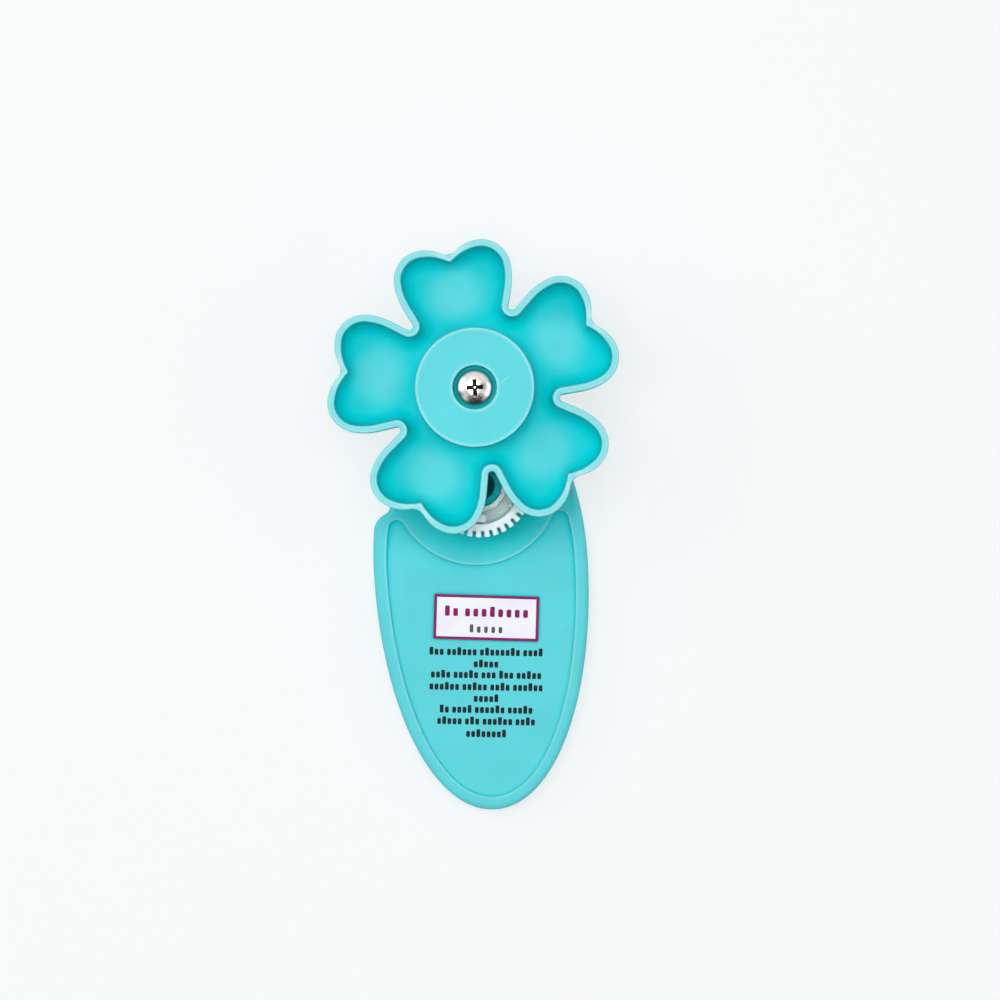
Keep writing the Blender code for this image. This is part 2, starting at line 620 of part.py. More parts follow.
def build_drive_bush():
    """Flanged plain bearing in the base; its flange carries the lower drive gear."""
    profile = [(BUSH_BORE, WASHER_TOP), (BUSH_FLANGE, WASHER_TOP), (BUSH_FLANGE, WASHER_BOTTOM),
               (BUSH_RADIUS, WASHER_BOTTOM), (BUSH_RADIUS, BUSH_BOTTOM), (BUSH_BORE, BUSH_BOTTOM)]
    bush = turned("drive_bush", profile, WHITE, closed=True)
    bush.location.y = GEAR_CENTRES


def build_drive_shaft(axis):
    """Round journal and collar below, six flats above, threaded at the top."""
    profile = [(0.0, LOWER_BOTTOM), (JOURNAL_RADIUS, LOWER_BOTTOM), (JOURNAL_RADIUS, FOOT_TOP),
               (FOOT_RADIUS, FOOT_TOP), (FOOT_RADIUS, FOOT_BOTTOM), (0.0, FOOT_BOTTOM)]
    shaft = turned("drive_shaft", profile, STEEL, axis)
    hexagon = circle(HEX_CORNER, 6)
    fuse(shaft, helper_outline("shaft_flats", [hexagon], LOWER_BOTTOM - FUSE_IN, SHAFT_TOP, axis))
    thread_bottom = KNOB_SCREW_TIP - THREAD_ROOM
    thread = [(0.0, 0.0, KNOB_SCREW_RADIUS + RUN_GAP, thread_bottom, SHAFT_TOP + CUT_OVER)]
    cut(shaft, cylinders("shaft_thread", thread, axis))


def lug_outline(angle):
    """A round-nosed block that reaches from the gear's rim towards its bore."""
    half = LUG_WIDTH / 2
    inner = COLLAR_RADIUS + LUG_GAP
    outer = RIM_RADIUS + RIM_DEPTH / 2
    nose = arc((inner + half, 0.0), half, math.pi / 2, 3 * math.pi / 2, CORNER_STEPS)
    return rotated(nose + [(outer, -half), (outer, half)], angle)


def sink_web(gear, collar, axis):
    """Sink the upper gear's face between its rim and its collar, and leave the lugs."""
    name = gear.name
    web_level = UPPER_TOP - WEB_DEPTH
    loops = [circle(RIM_RADIUS), circle(collar)]
    cut(gear, helper_outline(name + "_web", loops, web_level, UPPER_TOP + CUT_OVER, axis))
    angles = [LUG_ANGLE + 2 * math.pi * i / LUG_COUNT for i in range(LUG_COUNT)]
    lugs = [lug_outline(angle) for angle in angles]
    fuse(gear, helper_outline(name + "_lugs", lugs, web_level - FUSE_IN, UPPER_TOP, axis))
    step = circle(collar + LUG_GAP / 2)
    cut(gear, helper_outline(name + "_step", [step], UPPER_TOP - COLLAR_DROP, UPPER_TOP + CUT_OVER, axis))


def build_gears(prefix, phase, bore, collar, axis):
    lower = gear_outline(SHALLOW_ADDENDUM, phase)
    mesh = outline_mesh(f"lower_{prefix}_gear", [lower, bore], LOWER_BOTTOM, LOWER_TOP)
    add_object(mesh.name, mesh, WHITE, axis)
    upper = gear_outline(DEEP_ADDENDUM, phase, DEEP_CHAMFER)
    mesh = outline_mesh(f"upper_{prefix}_gear", [upper, bore], UPPER_BOTTOM, UPPER_TOP)
    sink_web(add_object(mesh.name, mesh, WHITE, axis), collar, axis)


def build_idler(axis):
    half_pitch = math.pi / TEETH
    build_gears("idler", math.pi / 2 + MESH_PHASE + half_pitch, circle(IDLER_BORE), COLLAR_RADIUS, axis)
    ring("idler_spacer", IDLER_BORE, IDLER_BORE + WASHER_WIDTH, SPACER_BOTTOM, SPACER_TOP, WHITE, axis)
    ring("idler_washer", IDLER_BORE, IDLER_BORE + WASHER_WIDTH, WASHER_BOTTOM, WASHER_TOP, WHITE)


def build_drive(axis):
    bore = circle(HEX_BORE_CORNER, 6)
    collar = HEX_BORE_CORNER + COLLAR_RING + RUN_GAP
    build_gears("drive", -math.pi / 2 - MESH_PHASE, bore, collar, axis)
    inner = HEX_CORNER + RUN_GAP
    ring("drive_spacer", inner, inner + WASHER_WIDTH, SPACER_BOTTOM, SPACER_TOP, WHITE, axis)


def build_flower_knob(axis):
    """Shallow cup with five petals, a raised hub, a screw recess and a six-sided socket."""
    outline = flower_outline()
    knob = add_object("flower_knob", outline_mesh("flower_knob", [outline], KNOB_BOTTOM, RIM_TOP), TEAL, axis)
    inside = offset_outline(outline, KNOB_WALL)
    cavity = helper_outline("petal_cavity", [inside], FLOOR_LEVEL, RIM_TOP + CUT_OVER, axis)
    round_edges(cavity, FLOOR_LEVEL, FLOOR_FILLET, FLOOR_SEGMENTS)
    cut(knob, cavity)
    hub = [(0.0, 0.0, HUB_RADIUS, FLOOR_LEVEL - FUSE_IN, HUB_TOP)]
    fuse(knob, cylinders("knob_hub", hub, axis, sides=HUB_SIDES))
    core = [(0.0, 0.0, HUB_RADIUS - HUB_WALL, KNOB_BOTTOM - CUT_OVER, HUB_TOP - HUB_WALL)]
    cut(knob, cylinders("hub_core", core, axis, sides=ROUND_SIDES))
    socket = [(0.0, 0.0, SOCKET_RADIUS, SOCKET_BOTTOM, HUB_TOP - HUB_WALL + FUSE_IN)]
    fuse(knob, cylinders("knob_socket", socket, axis, sides=ROUND_SIDES))
    hexagon = circle(HEX_BORE_CORNER, 6)
    cut(knob, helper_outline("socket_flats", [hexagon], SOCKET_BOTTOM - CUT_OVER, SOCKET_TOP, axis))
    hole = [(0.0, 0.0, KNOB_SCREW_RADIUS + RUN_GAP, SOCKET_TOP - CUT_OVER, HUB_TOP + CUT_OVER)]
    cut(knob, cylinders("knob_screw_hole", hole, axis))
    recess = [(0.0, 0.0, RECESS_RADIUS, RECESS_FLOOR, HUB_TOP + CUT_OVER)]
    cut(knob, cylinders("knob_recess", recess, axis, sides=ROUND_SIDES))


def build_knob_screw(axis):
    """Round-headed screw with a cross recess, over its washer."""
    brim = KNOB_HEAD_BOTTOM + KNOB_HEAD_BRIM
    rise = KNOB_HEAD_HEIGHT - KNOB_HEAD_BRIM
    dome = [(KNOB_HEAD_RADIUS * math.sin(angle), brim + rise * math.cos(angle))
            for angle in (math.pi / 2 * i / DOME_STEPS for i in range(DOME_STEPS + 1))]
    point = KNOB_SCREW_RADIUS / 2
    shank = [(KNOB_HEAD_RADIUS, KNOB_HEAD_BOTTOM), (KNOB_SCREW_RADIUS, KNOB_HEAD_BOTTOM),
             (KNOB_SCREW_RADIUS, KNOB_SCREW_TIP + point), (point, KNOB_SCREW_TIP), (0.0, KNOB_SCREW_TIP)]
    screw = turned("knob_screw", dome + shank, STEEL, axis)
    depth = KNOB_HEAD_HEIGHT * CROSS_DEPTH_SHARE
    cut(screw, cross_recess("knob_screw_recess", KNOB_HEAD_RADIUS, KNOB_HEAD_TOP, depth, axis))
    ring("knob_washer", KNOB_SCREW_RADIUS + RUN_GAP, KNOB_WASHER_RADIUS,
         KNOB_WASHER_BOTTOM, KNOB_WASHER_TOP, STEEL, axis)


def make_axis(name, y):
    axis = bpy.data.objects.new(name, None)
    axis.location.y = y
    PARTS.objects.link(axis)
    return axis


def main():
    idler_axis = make_axis("idler_axis", 0.0)
    knob_axis = make_axis("knob_axis", GEAR_CENTRES)
    build_base_shell()
    build_base_cover()
    build_cover_screws()
    build_label()
    build_drive_bush()
    build_idler(idler_axis)
    build_drive(knob_axis)
    build_drive_shaft(knob_axis)
    build_flower_knob(knob_axis)
    build_knob_screw(knob_axis)


main()
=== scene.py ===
"""Dresses the paper crimper: fine pieces, finishes and a plain studio around its fixed frame."""
import math

import bmesh
import bpy
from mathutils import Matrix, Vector


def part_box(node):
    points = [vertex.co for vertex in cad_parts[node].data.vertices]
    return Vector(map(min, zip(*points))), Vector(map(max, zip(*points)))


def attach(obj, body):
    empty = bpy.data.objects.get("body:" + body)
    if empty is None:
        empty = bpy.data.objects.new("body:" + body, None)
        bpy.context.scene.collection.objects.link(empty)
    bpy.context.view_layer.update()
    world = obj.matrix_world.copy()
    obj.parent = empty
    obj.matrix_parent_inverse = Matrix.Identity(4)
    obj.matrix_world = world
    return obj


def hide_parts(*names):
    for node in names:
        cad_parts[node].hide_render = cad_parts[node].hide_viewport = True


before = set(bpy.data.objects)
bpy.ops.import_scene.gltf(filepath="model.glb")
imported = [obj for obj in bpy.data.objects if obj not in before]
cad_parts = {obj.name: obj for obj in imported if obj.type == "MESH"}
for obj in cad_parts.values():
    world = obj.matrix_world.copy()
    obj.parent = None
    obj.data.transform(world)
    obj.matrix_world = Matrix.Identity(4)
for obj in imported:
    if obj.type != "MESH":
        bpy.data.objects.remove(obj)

bl_info = {
    "name": "Paper Crimper",
    "version": (1, 0, 0),
    "blender": (4, 5, 0),
    "location": "View3D > Sidebar > Crimper",
    "description": "Builds a hand-held crimper for paper strips around its fixed frame",
    "category": "Add Mesh",
}

MM = 0.001

# Fits
SEAT_GAP = 0.3 * MM
RUN_GAP = 0.3 * MM

# Gear axes: the idler turns at the origin, the knob at this distance along +Y
GEAR_CENTRES = 23.2 * MM
IDLER = (0.0, 0.0)
KNOB = (0.0, GEAR_CENTRES)

# Base outline, seen from above
LEAF_AXIS_X = -1.1 * MM
LEAF_HALF_WIDTH = 25.9 * MM
LEAF_WIDEST_Y = -19.2 * MM
LEAF_TIP_LENGTH = 59.1 * MM
LEAF_RISE = 46.0 * MM
LEAF_FULLNESS = 2.05
HEAD_RADIUS = 16.2 * MM
SHOULDER_RISE = 9.9 * MM
SHOULDER_RADIUS = 4.6 * MM
SHOULDER_SLOPE = math.radians(30)
SHOULDER_FLAT = 1.2 * MM
SHOULDER_FILLET = 1.6 * MM

# Base section and its sunk panel
BASE_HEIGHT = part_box("drive_bush")[1].z - 1.1 * MM
SIDE_WALL = 2.0 * MM
TOP_WALL = 2.0 * MM
PANEL_DEPTH = 0.8 * MM
PANEL_BORDER = 3.2 * MM
DECK_FRONT = 19.15 * MM
HORN_RISE = 10.0 * MM
HORN_RADIUS = 2.0 * MM
HORN_DRAW_IN = 1.0 * MM
FOOT_ROUND = 0.3 * MM               # lower edges of base, cover and cover screws

# Bottom cover and its screws
COVER_THICKNESS = 2.4 * MM
SCREW_HEAD_RADIUS = 2.8 * MM
SCREW_HEAD_HEIGHT = 1.0 * MM
SCREW_HEAD_SINK = 0.1 * MM
SCREW_RADIUS = 1.2 * MM
SCREW_TIP_ROOM = 0.9 * MM
BOSS_WALL = 1.7 * MM
SCREW_MARGIN = 1.3 * MM
HANDLE_SCREWS_Y = -30.0 * MM
NECK_SCREWS_Y = 8.0 * MM
COUNTERBORE_LIP = 0.2 * MM
COUNTERBORE_COVE = 0.15 * MM
COVER_MARK_RADIUS = 2.2 * MM        # faint round marks that a mould leaves in the cover
COVER_MARK_DEPTH = 0.15 * MM
COVER_MARK_EDGE = 0.05 * MM
COVER_MARK_ASIDE = 9.0 * MM
COVER_MARK_ROWS = (-56.0 * MM, -38.0 * MM, -16.0 * MM)
NECK_MARK_ROWS = (GEAR_CENTRES - 6.0 * MM, GEAR_CENTRES + 8.0 * MM)

# Gears
TEETH = 36
MESH_PHASE = math.radians(-0.6)
GEAR_FACE = 9.0 * MM
DEEP_ADDENDUM = 0.70 * MM
SHALLOW_ADDENDUM = 0.40 * MM
TIP_CLEARANCE = 0.20 * MM
TOOTH_TIP_SHARE = 0.30
TOOTH_ROOT_SHARE = 0.54
DRIVE_TIP_SHARE = 0.19
DRIVE_ROOT_SHARE = 0.27
SLOT_WIDTH = 0.83 * MM              # round-bottomed slots of the gear that shows
SLOT_CORNER = 0.24 * MM
RIM_DEPTH = 1.5 * MM
WEB_DEPTH = 2.0 * MM
WEB_LIP = 0.15 * MM
WEB_COVE = 0.9 * MM
COLLAR_RING = 0.85 * MM
COLLAR_DROP = 0.4 * MM
COLLAR_WAVES = 11                   # round the collar, with finer ripples over them
COLLAR_RIPPLES = 25
RIPPLE_SHARE = 0.6
LUG_COUNT = 4
COLLAR_FIT = 0.08 * MM
LUG_ANGLE = math.radians(264.4)
LUG_WIDTH = 3.3 * MM
LUG_REACH = (6.85 * MM, 8.72 * MM)
LUG_CORNER = 0.5 * MM
LUG_DROP = 0.1 * MM
PIN_MARK = (8.55 * MM, math.radians(-36.8))     # the raised dot beside the gear's rim
PIN_MARK_RADIUS = 0.45 * MM
PIN_MARK_HEIGHT = 0.5 * MM
PIN_MARK_ROUND = 0.2 * MM

# Idler post and the knob's bush
POST_RADIUS = 4.95 * MM
POST_HOLE_RADIUS = 3.3 * MM
POST_FLOOR = 1.8 * MM
POST_DROP = 3.0 * MM
POST_ROUND = 0.35 * MM
POST_HOLE_LIP = 0.3 * MM
POST_HOLE_COVE = 0.4 * MM
WASHER_THICKNESS = 0.8 * MM
SPACER_THICKNESS = 0.6 * MM
HEX_FLATS = 6.0 * MM
JOURNAL_STEP = 0.15 * MM
BUSH_WALL = 0.95 * MM
FOOT_THICKNESS = 1.4 * MM
HOUSING_WALL = 2.0 * MM

# Flower knob
PETALS = 5
PETAL_PHASE = math.radians(25.9)
LIT_PATCH_REACH = 23.0 * MM             # middle of the painted lit patch on a petal's floor
LIT_PATCH_DEPTH = 7.0 * MM
LIT_PATCH_SPREAD = 8.9 * MM
LOBE_REACH = 27.1 * MM
LOBE_SPREAD = 6.95 * MM
LOBE_RADIUS = 7.0 * MM
BROW_EXTRA = 2.0 * MM
TIP_FILLET = 3.3 * MM
CUP_BROW_EXTRA = 5.45 * MM          # the cup's own, sharper dent in a petal's tip
CUP_TIP_FILLET = 0.55 * MM
SIDE_RADIUS = 15.0 * MM
SIDE_START = math.radians(86.4)
GAP_TAPER = math.radians(16)
NOTCH_RADIUS = 0.88 * MM
KNOB_LIFT = 1.2 * MM
KNOB_HEIGHT = 11.9 * MM
KNOB_FLOOR = 2.2 * MM
KNOB_WALL = 1.65 * MM
CUP_FILLET = 3.6 * MM
CUP_STEPS = 12
HUB_RADIUS = 14.1 * MM
HUB_WALL = 2.0 * MM
HUB_DROP = 0.5 * MM
HUB_WEB = 2.5 * MM
RECESS_GAP = 0.78 * MM
RECESS_COVE = 0.4 * MM
SOCKET_WALL = 1.82 * MM
SOCKET_ROUND = 0.2 * MM
KNOB_FOOT_ROUND = 0.4 * MM

# Knob screw and its washer
KNOB_SCREW_RADIUS = 1.95 * MM
KNOB_SCREW_LENGTH = 12.0 * MM
KNOB_HEAD_RADIUS = 3.9 * MM
KNOB_HEAD_HEIGHT = 2.6 * MM
KNOB_HEAD_BRIM = 1.9 * MM
KNOB_HEAD_SINK = 0.9 * MM
KNOB_WASHER_LIP = 0.5 * MM
KNOB_WASHER_SHOWS = 0.06 * MM       # how far the washer stands out from under the head
KNOB_WASHER_THICKNESS = 0.7 * MM
KNOB_WASHER_ROUND = 0.1 * MM
KNOB_HEAD_ROUND = 0.12 * MM
DOME_SHARE = 0.97                   # the dome ends just short of its top, in a tiny flat
CROSS_SHARE = 0.5                   # an arm's length, in radii of the head
CROSS_SLOT = 0.9 * MM
CROSS_TAPER = 0.75
CROSS_ROUND = 0.06 * MM
CROSS_DEPTH = 0.2 * MM
CROSS_FLOOR = [(0.08 * MM, 0.2 * MM), (0.1 * MM, 0.15 * MM)]        # steps inwards and deeper
KNOB_CROSS_SLOT = 1.06 * MM
KNOB_CROSS_TAPER = 0.95
KNOB_CROSS_ROUND = 0.09 * MM
KNOB_CROSS_DEPTH = 0.5 * MM
KNOB_CROSS_FLOOR = [(0.06 * MM, 0.35 * MM), (0.16 * MM, 0.45 * MM)]

# Label and print on the panel
LABEL_WIDTH = 25.4 * MM
LABEL_HEIGHT = 10.9 * MM
LABEL_THICKNESS = 0.3 * MM
LABEL_GAP = 0.15 * MM
LABEL_X = -0.5 * MM
LABEL_DROP = 12.75 * MM
LABEL_TURN = math.radians(-4.9)
LABEL_MIDDLE = (LABEL_X, -DECK_FRONT - LABEL_DROP)
LABEL_ROUND = 0.06 * MM
INK_THICKNESS = 0.03 * MM
MARK_GAP = 0.34 * MM
MARK_CORNER_SHARE = 0.28
TALL_MARK = 1.32                    # height of the taller marks, in plain ones
GROUP_GAP = 1.5                     # space between groups of marks, in gaps and in widths
GROUP_WIDTH = 0.4
PRINT_START = (-1.05 * MM, -40.3 * MM)          # middle of the first row
PRINT_WAY = (-0.0574, -0.9984)                  # from row to row
PRINT_TURN = math.radians(-4.2)
PRINT_ROWS = [                                  # distance along the way, marks in each group
    (0.0, (3, 6, 8, 4)), (2.90, (5,)), (5.51, (4, 5, 3, 3, 5)), (8.43, (6, 5, 4, 6)),
    (11.24, (5,)), (13.92, (2, 4, 6, 5)), (16.72, (5, 3, 6, 4)), (19.74, (8,)),
]

# Finishes: how far a point looks for walls round it, and tones beside those that a user sets, some
# of them painted shade
OPEN_REACH = 26.0 * MM
THIN_REACH = 1.3 * MM
WALLS_REACH = 1.5 * MM
SCRATCH_START = (KNOB[0] + 5.9 * MM, KNOB[1] + 0.2 * MM)
SCRATCH_TURN = math.radians(36)
# painted shade in the knob screw's recess
RECESS_PAINTED_SHADE = (0.0, 0.20, 0.19)
HANDLING_GREY = (0.62, 0.62, 0.56)
WEB_SPOT_BROWN = (0.27, 0.28, 0.20)
DUST_BROWN = (0.45, 0.42, 0.38)
# painted shade round the knob screw's brim, tinted by the teal recess that it mirrors
BRIM_PAINTED_SHADE = (0.16, 0.26, 0.23)
# grime and painted shade in the knob screw's cross
CROSS_GRIME_AND_SHADE = (0.028, 0.018, 0.013)
LABEL_SHADE = (0.89, 0.87, 0.96)
BORDER_SHADE = (0.22, 0.002, 0.11)
MARK_SHADE = (0.24, 0.003, 0.12)
SMALL_MARK = (0.10, 0.09, 0.11)
SMALL_MARK_SHADE = (0.2, 0.19, 0.22)
INK_SHADE = (0.03, 0.035, 0.04)

# Stage: lamps have a name, a place, a width in metres and a power in watts
FLOOR_SIZE = 8.0
FLOOR_DROP = 0.05 * MM
FLOOR_GLOW = (0.985, 1.0, 1.0)
LAMPS = [
    ("soft_light_above", (-0.1, 0.1, 1.9), 0.85, 19.5),
    ("soft_light_left", (-1.2, 0.4, 1.3), 1.0, 5.0),
    ("soft_light_right", (1.25, -0.2, 1.4), 1.0, 3.0),
]
WORLD_LIGHT = (0.97, 0.985, 1.0)
WORLD_SEEN = (0.93, 0.94, 0.955)
WORLD_DARK = (0.05, 0.04, 0.04)
CAMERA_PLACE = (4.44 * MM, -3.69 * MM, 1.4)
CAMERA_TURN = math.radians(-3.29)
CAMERA_LENS = 207.2
CAMERA_SENSOR = 36.0
CAMERA_REACH = 20.0

# Levels that follow
PANEL_LEVEL = BASE_HEIGHT - PANEL_DEPTH
CEILING = PANEL_LEVEL - TOP_WALL
BOSS_FOOT = COVER_THICKNESS + SEAT_GAP
LOWER_BOTTOM = BASE_HEIGHT + WASHER_THICKNESS + 2 * SEAT_GAP
LOWER_TOP = LOWER_BOTTOM + GEAR_FACE
UPPER_BOTTOM = LOWER_TOP + SPACER_THICKNESS + 2 * SEAT_GAP
UPPER_TOP = UPPER_BOTTOM + GEAR_FACE
WEB_LEVEL = UPPER_TOP - WEB_DEPTH
POST_TOP = UPPER_TOP - POST_DROP
KNOB_BOTTOM = UPPER_TOP + KNOB_LIFT
SOCKET_BOTTOM = UPPER_TOP + SEAT_GAP
FLOOR_LEVEL = KNOB_BOTTOM + KNOB_FLOOR
RIM_TOP = KNOB_BOTTOM + KNOB_HEIGHT
HUB_TOP = RIM_TOP - HUB_DROP
KNOB_HEAD_TOP = HUB_TOP - KNOB_HEAD_SINK
KNOB_HEAD_BOTTOM = KNOB_HEAD_TOP - KNOB_HEAD_HEIGHT
KNOB_WASHER_TOP = KNOB_HEAD_BOTTOM - SEAT_GAP
KNOB_WASHER_BOTTOM = KNOB_WASHER_TOP - KNOB_WASHER_THICKNESS
RECESS_FLOOR = KNOB_WASHER_BOTTOM - SEAT_GAP
SOCKET_TOP = RECESS_FLOOR - HUB_WEB
BUSH_BOTTOM = COVER_THICKNESS + FOOT_THICKNESS + 2 * SEAT_GAP
SCREW_HEAD_TOP = SCREW_HEAD_SINK + SCREW_HEAD_HEIGHT
COUNTERBORE_DEPTH = SCREW_HEAD_TOP + SEAT_GAP
SCREW_TOP = CEILING - SCREW_TIP_ROOM

# Radii that follow
PITCH_RADIUS = GEAR_CENTRES / 2
TOOTH_PITCH = 2 * math.pi * PITCH_RADIUS / TEETH
RIM_RADIUS = PITCH_RADIUS - DEEP_ADDENDUM - TIP_CLEARANCE - RIM_DEPTH
IDLER_BORE = POST_RADIUS + RUN_GAP
COLLAR_RADIUS = IDLER_BORE + COLLAR_RING
HEX_BORE_CORNER = (HEX_FLATS + 2 * RUN_GAP) / math.sqrt(3)
BUSH_HOLE = HEX_FLATS / math.sqrt(3) + JOURNAL_STEP + BUSH_WALL + 2 * RUN_GAP
PILOT_RADIUS = SCREW_RADIUS + RUN_GAP
BOSS_RADIUS = PILOT_RADIUS + BOSS_WALL
COUNTERBORE_RADIUS = SCREW_HEAD_RADIUS + RUN_GAP
KNOB_WASHER_RADIUS = KNOB_HEAD_RADIUS + KNOB_WASHER_LIP
RECESS_RADIUS = KNOB_WASHER_RADIUS + RECESS_GAP
SOCKET_RADIUS = max(RECESS_RADIUS, HEX_BORE_CORNER) + SOCKET_WALL

# Fineness
ROUND_SIDES = 96
HUB_SIDES = 144
SMALL_SIDES = 40
DOT_SIDES = 24
LONG_STEPS = 56
MIDDLE_STEPS = 16
SHORT_STEPS = 8
BEND_STEPS = 5
MARK_STEPS = 2
DOME_STEPS = 12
CORNER_SEGMENTS = 3
SHARP_ANGLE = math.radians(32)
SAME = 1e-6
SEARCH_STEPS = 50
CUT_OVER = 1.0 * MM
FUSE_IN = 0.8 * MM
SKIM = 0.006 * MM                   # keeps a cutter's wide end just off the face it enters


class CrimperSizes(bpy.types.PropertyGroup):
    """Edge radii and small details that the solids leave out"""
    base_round: bpy.props.FloatProperty(
        name="Base edge", description="Rounding of the handle's upper edge",
        default=1.4 * MM, min=0.5 * MM, max=3.0 * MM, precision=5, unit="LENGTH")
    lip_round: bpy.props.FloatProperty(
        name="Panel lip", description="Rounding of the edge round the sunk panel",
        default=0.28 * MM, min=0.05 * MM, max=0.4 * MM, precision=5, unit="LENGTH")
    rim_round: bpy.props.FloatProperty(
        name="Petal rims", description="Rounding of both edges of the petals' rims",
        default=0.35 * MM, min=0.05 * MM, max=0.7 * MM, precision=5, unit="LENGTH")
    hub_round: bpy.props.FloatProperty(
        name="Hub edge", description="Rounding of the hub's upper edge and of its recess",
        default=0.3 * MM, min=0.05 * MM, max=0.6 * MM, precision=5, unit="LENGTH")
    hub_skirt: bpy.props.FloatProperty(
        name="Hub foot", description="Hollow rounding between the hub and the petals' floor",
        default=0.45 * MM, min=0.2 * MM, max=2.0 * MM, precision=5, unit="LENGTH")
    deep_tooth_round: bpy.props.FloatProperty(
        name="Deep teeth", description="Rounding of the upper gears' teeth and slots",
        default=0.15 * MM, min=0.05 * MM, max=0.19 * MM, precision=5, unit="LENGTH")
    shallow_tooth_round: bpy.props.FloatProperty(
        name="Shallow teeth", description="Rounding of the lower gears' teeth and slots",
        default=0.14 * MM, min=0.05 * MM, max=0.25 * MM, precision=5, unit="LENGTH")
    face_round: bpy.props.FloatProperty(
        name="Small edges", description="Rounding of gear faces, washers and other small edges",
        default=0.12 * MM, min=0.02 * MM, max=0.2 * MM, precision=5, unit="LENGTH")
    collar_wave: bpy.props.FloatProperty(
        name="Collar wave", description="How far the ring round the gear's bore wanders in and out",
        default=0.14 * MM, min=0.0, max=0.3 * MM, precision=5, unit="LENGTH")
    label_corner: bpy.props.FloatProperty(
        name="Label corners", description="Rounding of the label's corners",
        default=0.3 * MM, min=0.1 * MM, max=2.0 * MM, precision=5, unit="LENGTH")
    label_border: bpy.props.FloatProperty(
        name="Label border", description="Width of the coloured border printed round the label",
        default=0.72 * MM, min=0.1 * MM, max=2.0 * MM, precision=5, unit="LENGTH")
    mark_width: bpy.props.FloatProperty(
        name="Mark width", description="Width of each plain mark printed on the handle",
        default=0.9 * MM, min=0.3 * MM, max=2.0 * MM, precision=5, unit="LENGTH")
    mark_height: bpy.props.FloatProperty(
        name="Mark height", description="Height of each plain mark printed on the handle",
        default=1.45 * MM, min=0.3 * MM, max=2.5 * MM, precision=5, unit="LENGTH")


class CrimperColours(bpy.types.PropertyGroup):
    """Colours of the finishes and the stage, painted shade and glow among them"""
    teal: bpy.props.FloatVectorProperty(
        name="Teal plastic", description="Open faces of the teal mouldings",
        default=(0.127, 0.733, 0.793), min=0.0, max=1.0, subtype="COLOR")
    # Painted shade: deeper, more saturated teal that stands in for the shade in corners and under
    # the knob
    teal_painted_shade: bpy.props.FloatVectorProperty(
        name="Teal in corners", description="Teal plastic where its own walls light it",
        default=(0.0, 0.655, 0.70), min=0.0, max=1.0, subtype="COLOR")
    # Painted glow: paler teal that stands in for light passing through thin rims and edges; the
    # hub's scratch takes this colour too
    teal_glow_and_scratch: bpy.props.FloatVectorProperty(
        name="Teal at thin edges",
        description="Teal plastic where light passes through rims and edges",
        default=(0.62, 0.89, 0.885), min=0.0, max=1.0, subtype="COLOR")
    white: bpy.props.FloatVectorProperty(
        name="White plastic", description="Gears, washers and bush",
        default=(0.965, 0.975, 0.975), min=0.0, max=1.0, subtype="COLOR")
    # Painted shade: greyer white that stands in for the shade deep between walls
    white_painted_shade: bpy.props.FloatVectorProperty(
        name="White in recesses", description="White plastic deep between walls",
        default=(0.86, 0.90, 0.89), min=0.0, max=1.0, subtype="COLOR")
    # Painted shade: grey that stands in for the shade on the gears' sunk webs and collars
    white_web_painted_shade: bpy.props.FloatVectorProperty(
        name="Gear webs", description="White plastic where the gears' webs are thin",
        default=(0.44, 0.56, 0.52), min=0.0, max=1.0, subtype="COLOR")
    steel: bpy.props.FloatVectorProperty(
        name="Plated steel", description="Screws, washer and shaft",
        default=(0.76, 0.72, 0.70), min=0.0, max=1.0, subtype="COLOR")
    label_face: bpy.props.FloatVectorProperty(
        name="Label", description="The label's white coating",
        default=(0.95, 0.94, 0.98), min=0.0, max=1.0, subtype="COLOR")
    label_edge: bpy.props.FloatVectorProperty(
        name="Label border", description="The coloured border and marks on the label",
        default=(0.28, 0.002, 0.13), min=0.0, max=1.0, subtype="COLOR")
    ink: bpy.props.FloatVectorProperty(
        name="Ink", description="The print on the handle",
        default=(0.006, 0.008, 0.010), min=0.0, max=1.0, subtype="COLOR")
    floor: bpy.props.FloatVectorProperty(
        name="Floor", description="Paper sheet that the crimper lies on",
        default=(0.90, 0.905, 0.915), min=0.0, max=1.0, subtype="COLOR")


# Outlines, seen from above

def polar(centre, radius, angle):
    return (centre[0] + radius * math.cos(angle), centre[1] + radius * math.sin(angle))


def arc(centre, radius, start, end, steps):
    return [polar(centre, radius, start + (end - start) * i / steps) for i in range(steps + 1)]


def circle(radius, sides):
    return [polar((0.0, 0.0), radius, 2 * math.pi * i / sides) for i in range(sides)]


def mirrored(points, x):
    return [(2 * x - px, py) for px, py in reversed(points)]


def rotated(points, angle):
    cos, sin = math.cos(angle), math.sin(angle)
    return [(x * cos - y * sin, x * sin + y * cos) for x, y in points]


def moved(points, place):
    return [(x + place[0], y + place[1]) for x, y in points]


def offset_outline(points, distance):
    """A closed counter-clockwise outline moved inwards, or outwards by a negative distance."""
    result = []
    for i, point in enumerate(points):
        before = (Vector(point) - Vector(points[i - 1])).normalized()
        after = (Vector(points[(i + 1) % len(points)]) - Vector(point)).normalized()
        normal = Vector((-before.y - after.y, before.x + after.x)).normalized()
        spread = normal.dot(Vector((-before.y, before.x)))
        result.append(tuple(Vector(point) + normal * (distance / spread)))
    return result


def lower_leaf(half_width, length):
    """The handle's rounded end, from its left widest point round to the right one."""
    power = 2 / LEAF_FULLNESS
    points = []
    for i in range(LONG_STEPS + 1):
        angle = math.pi * i / LONG_STEPS
        across = math.copysign(abs(math.cos(angle)) ** power, math.cos(angle))
        points.append((LEAF_AXIS_X - half_width * across,
                       LEAF_WIDEST_Y - length * abs(math.sin(angle)) ** power))
    return points


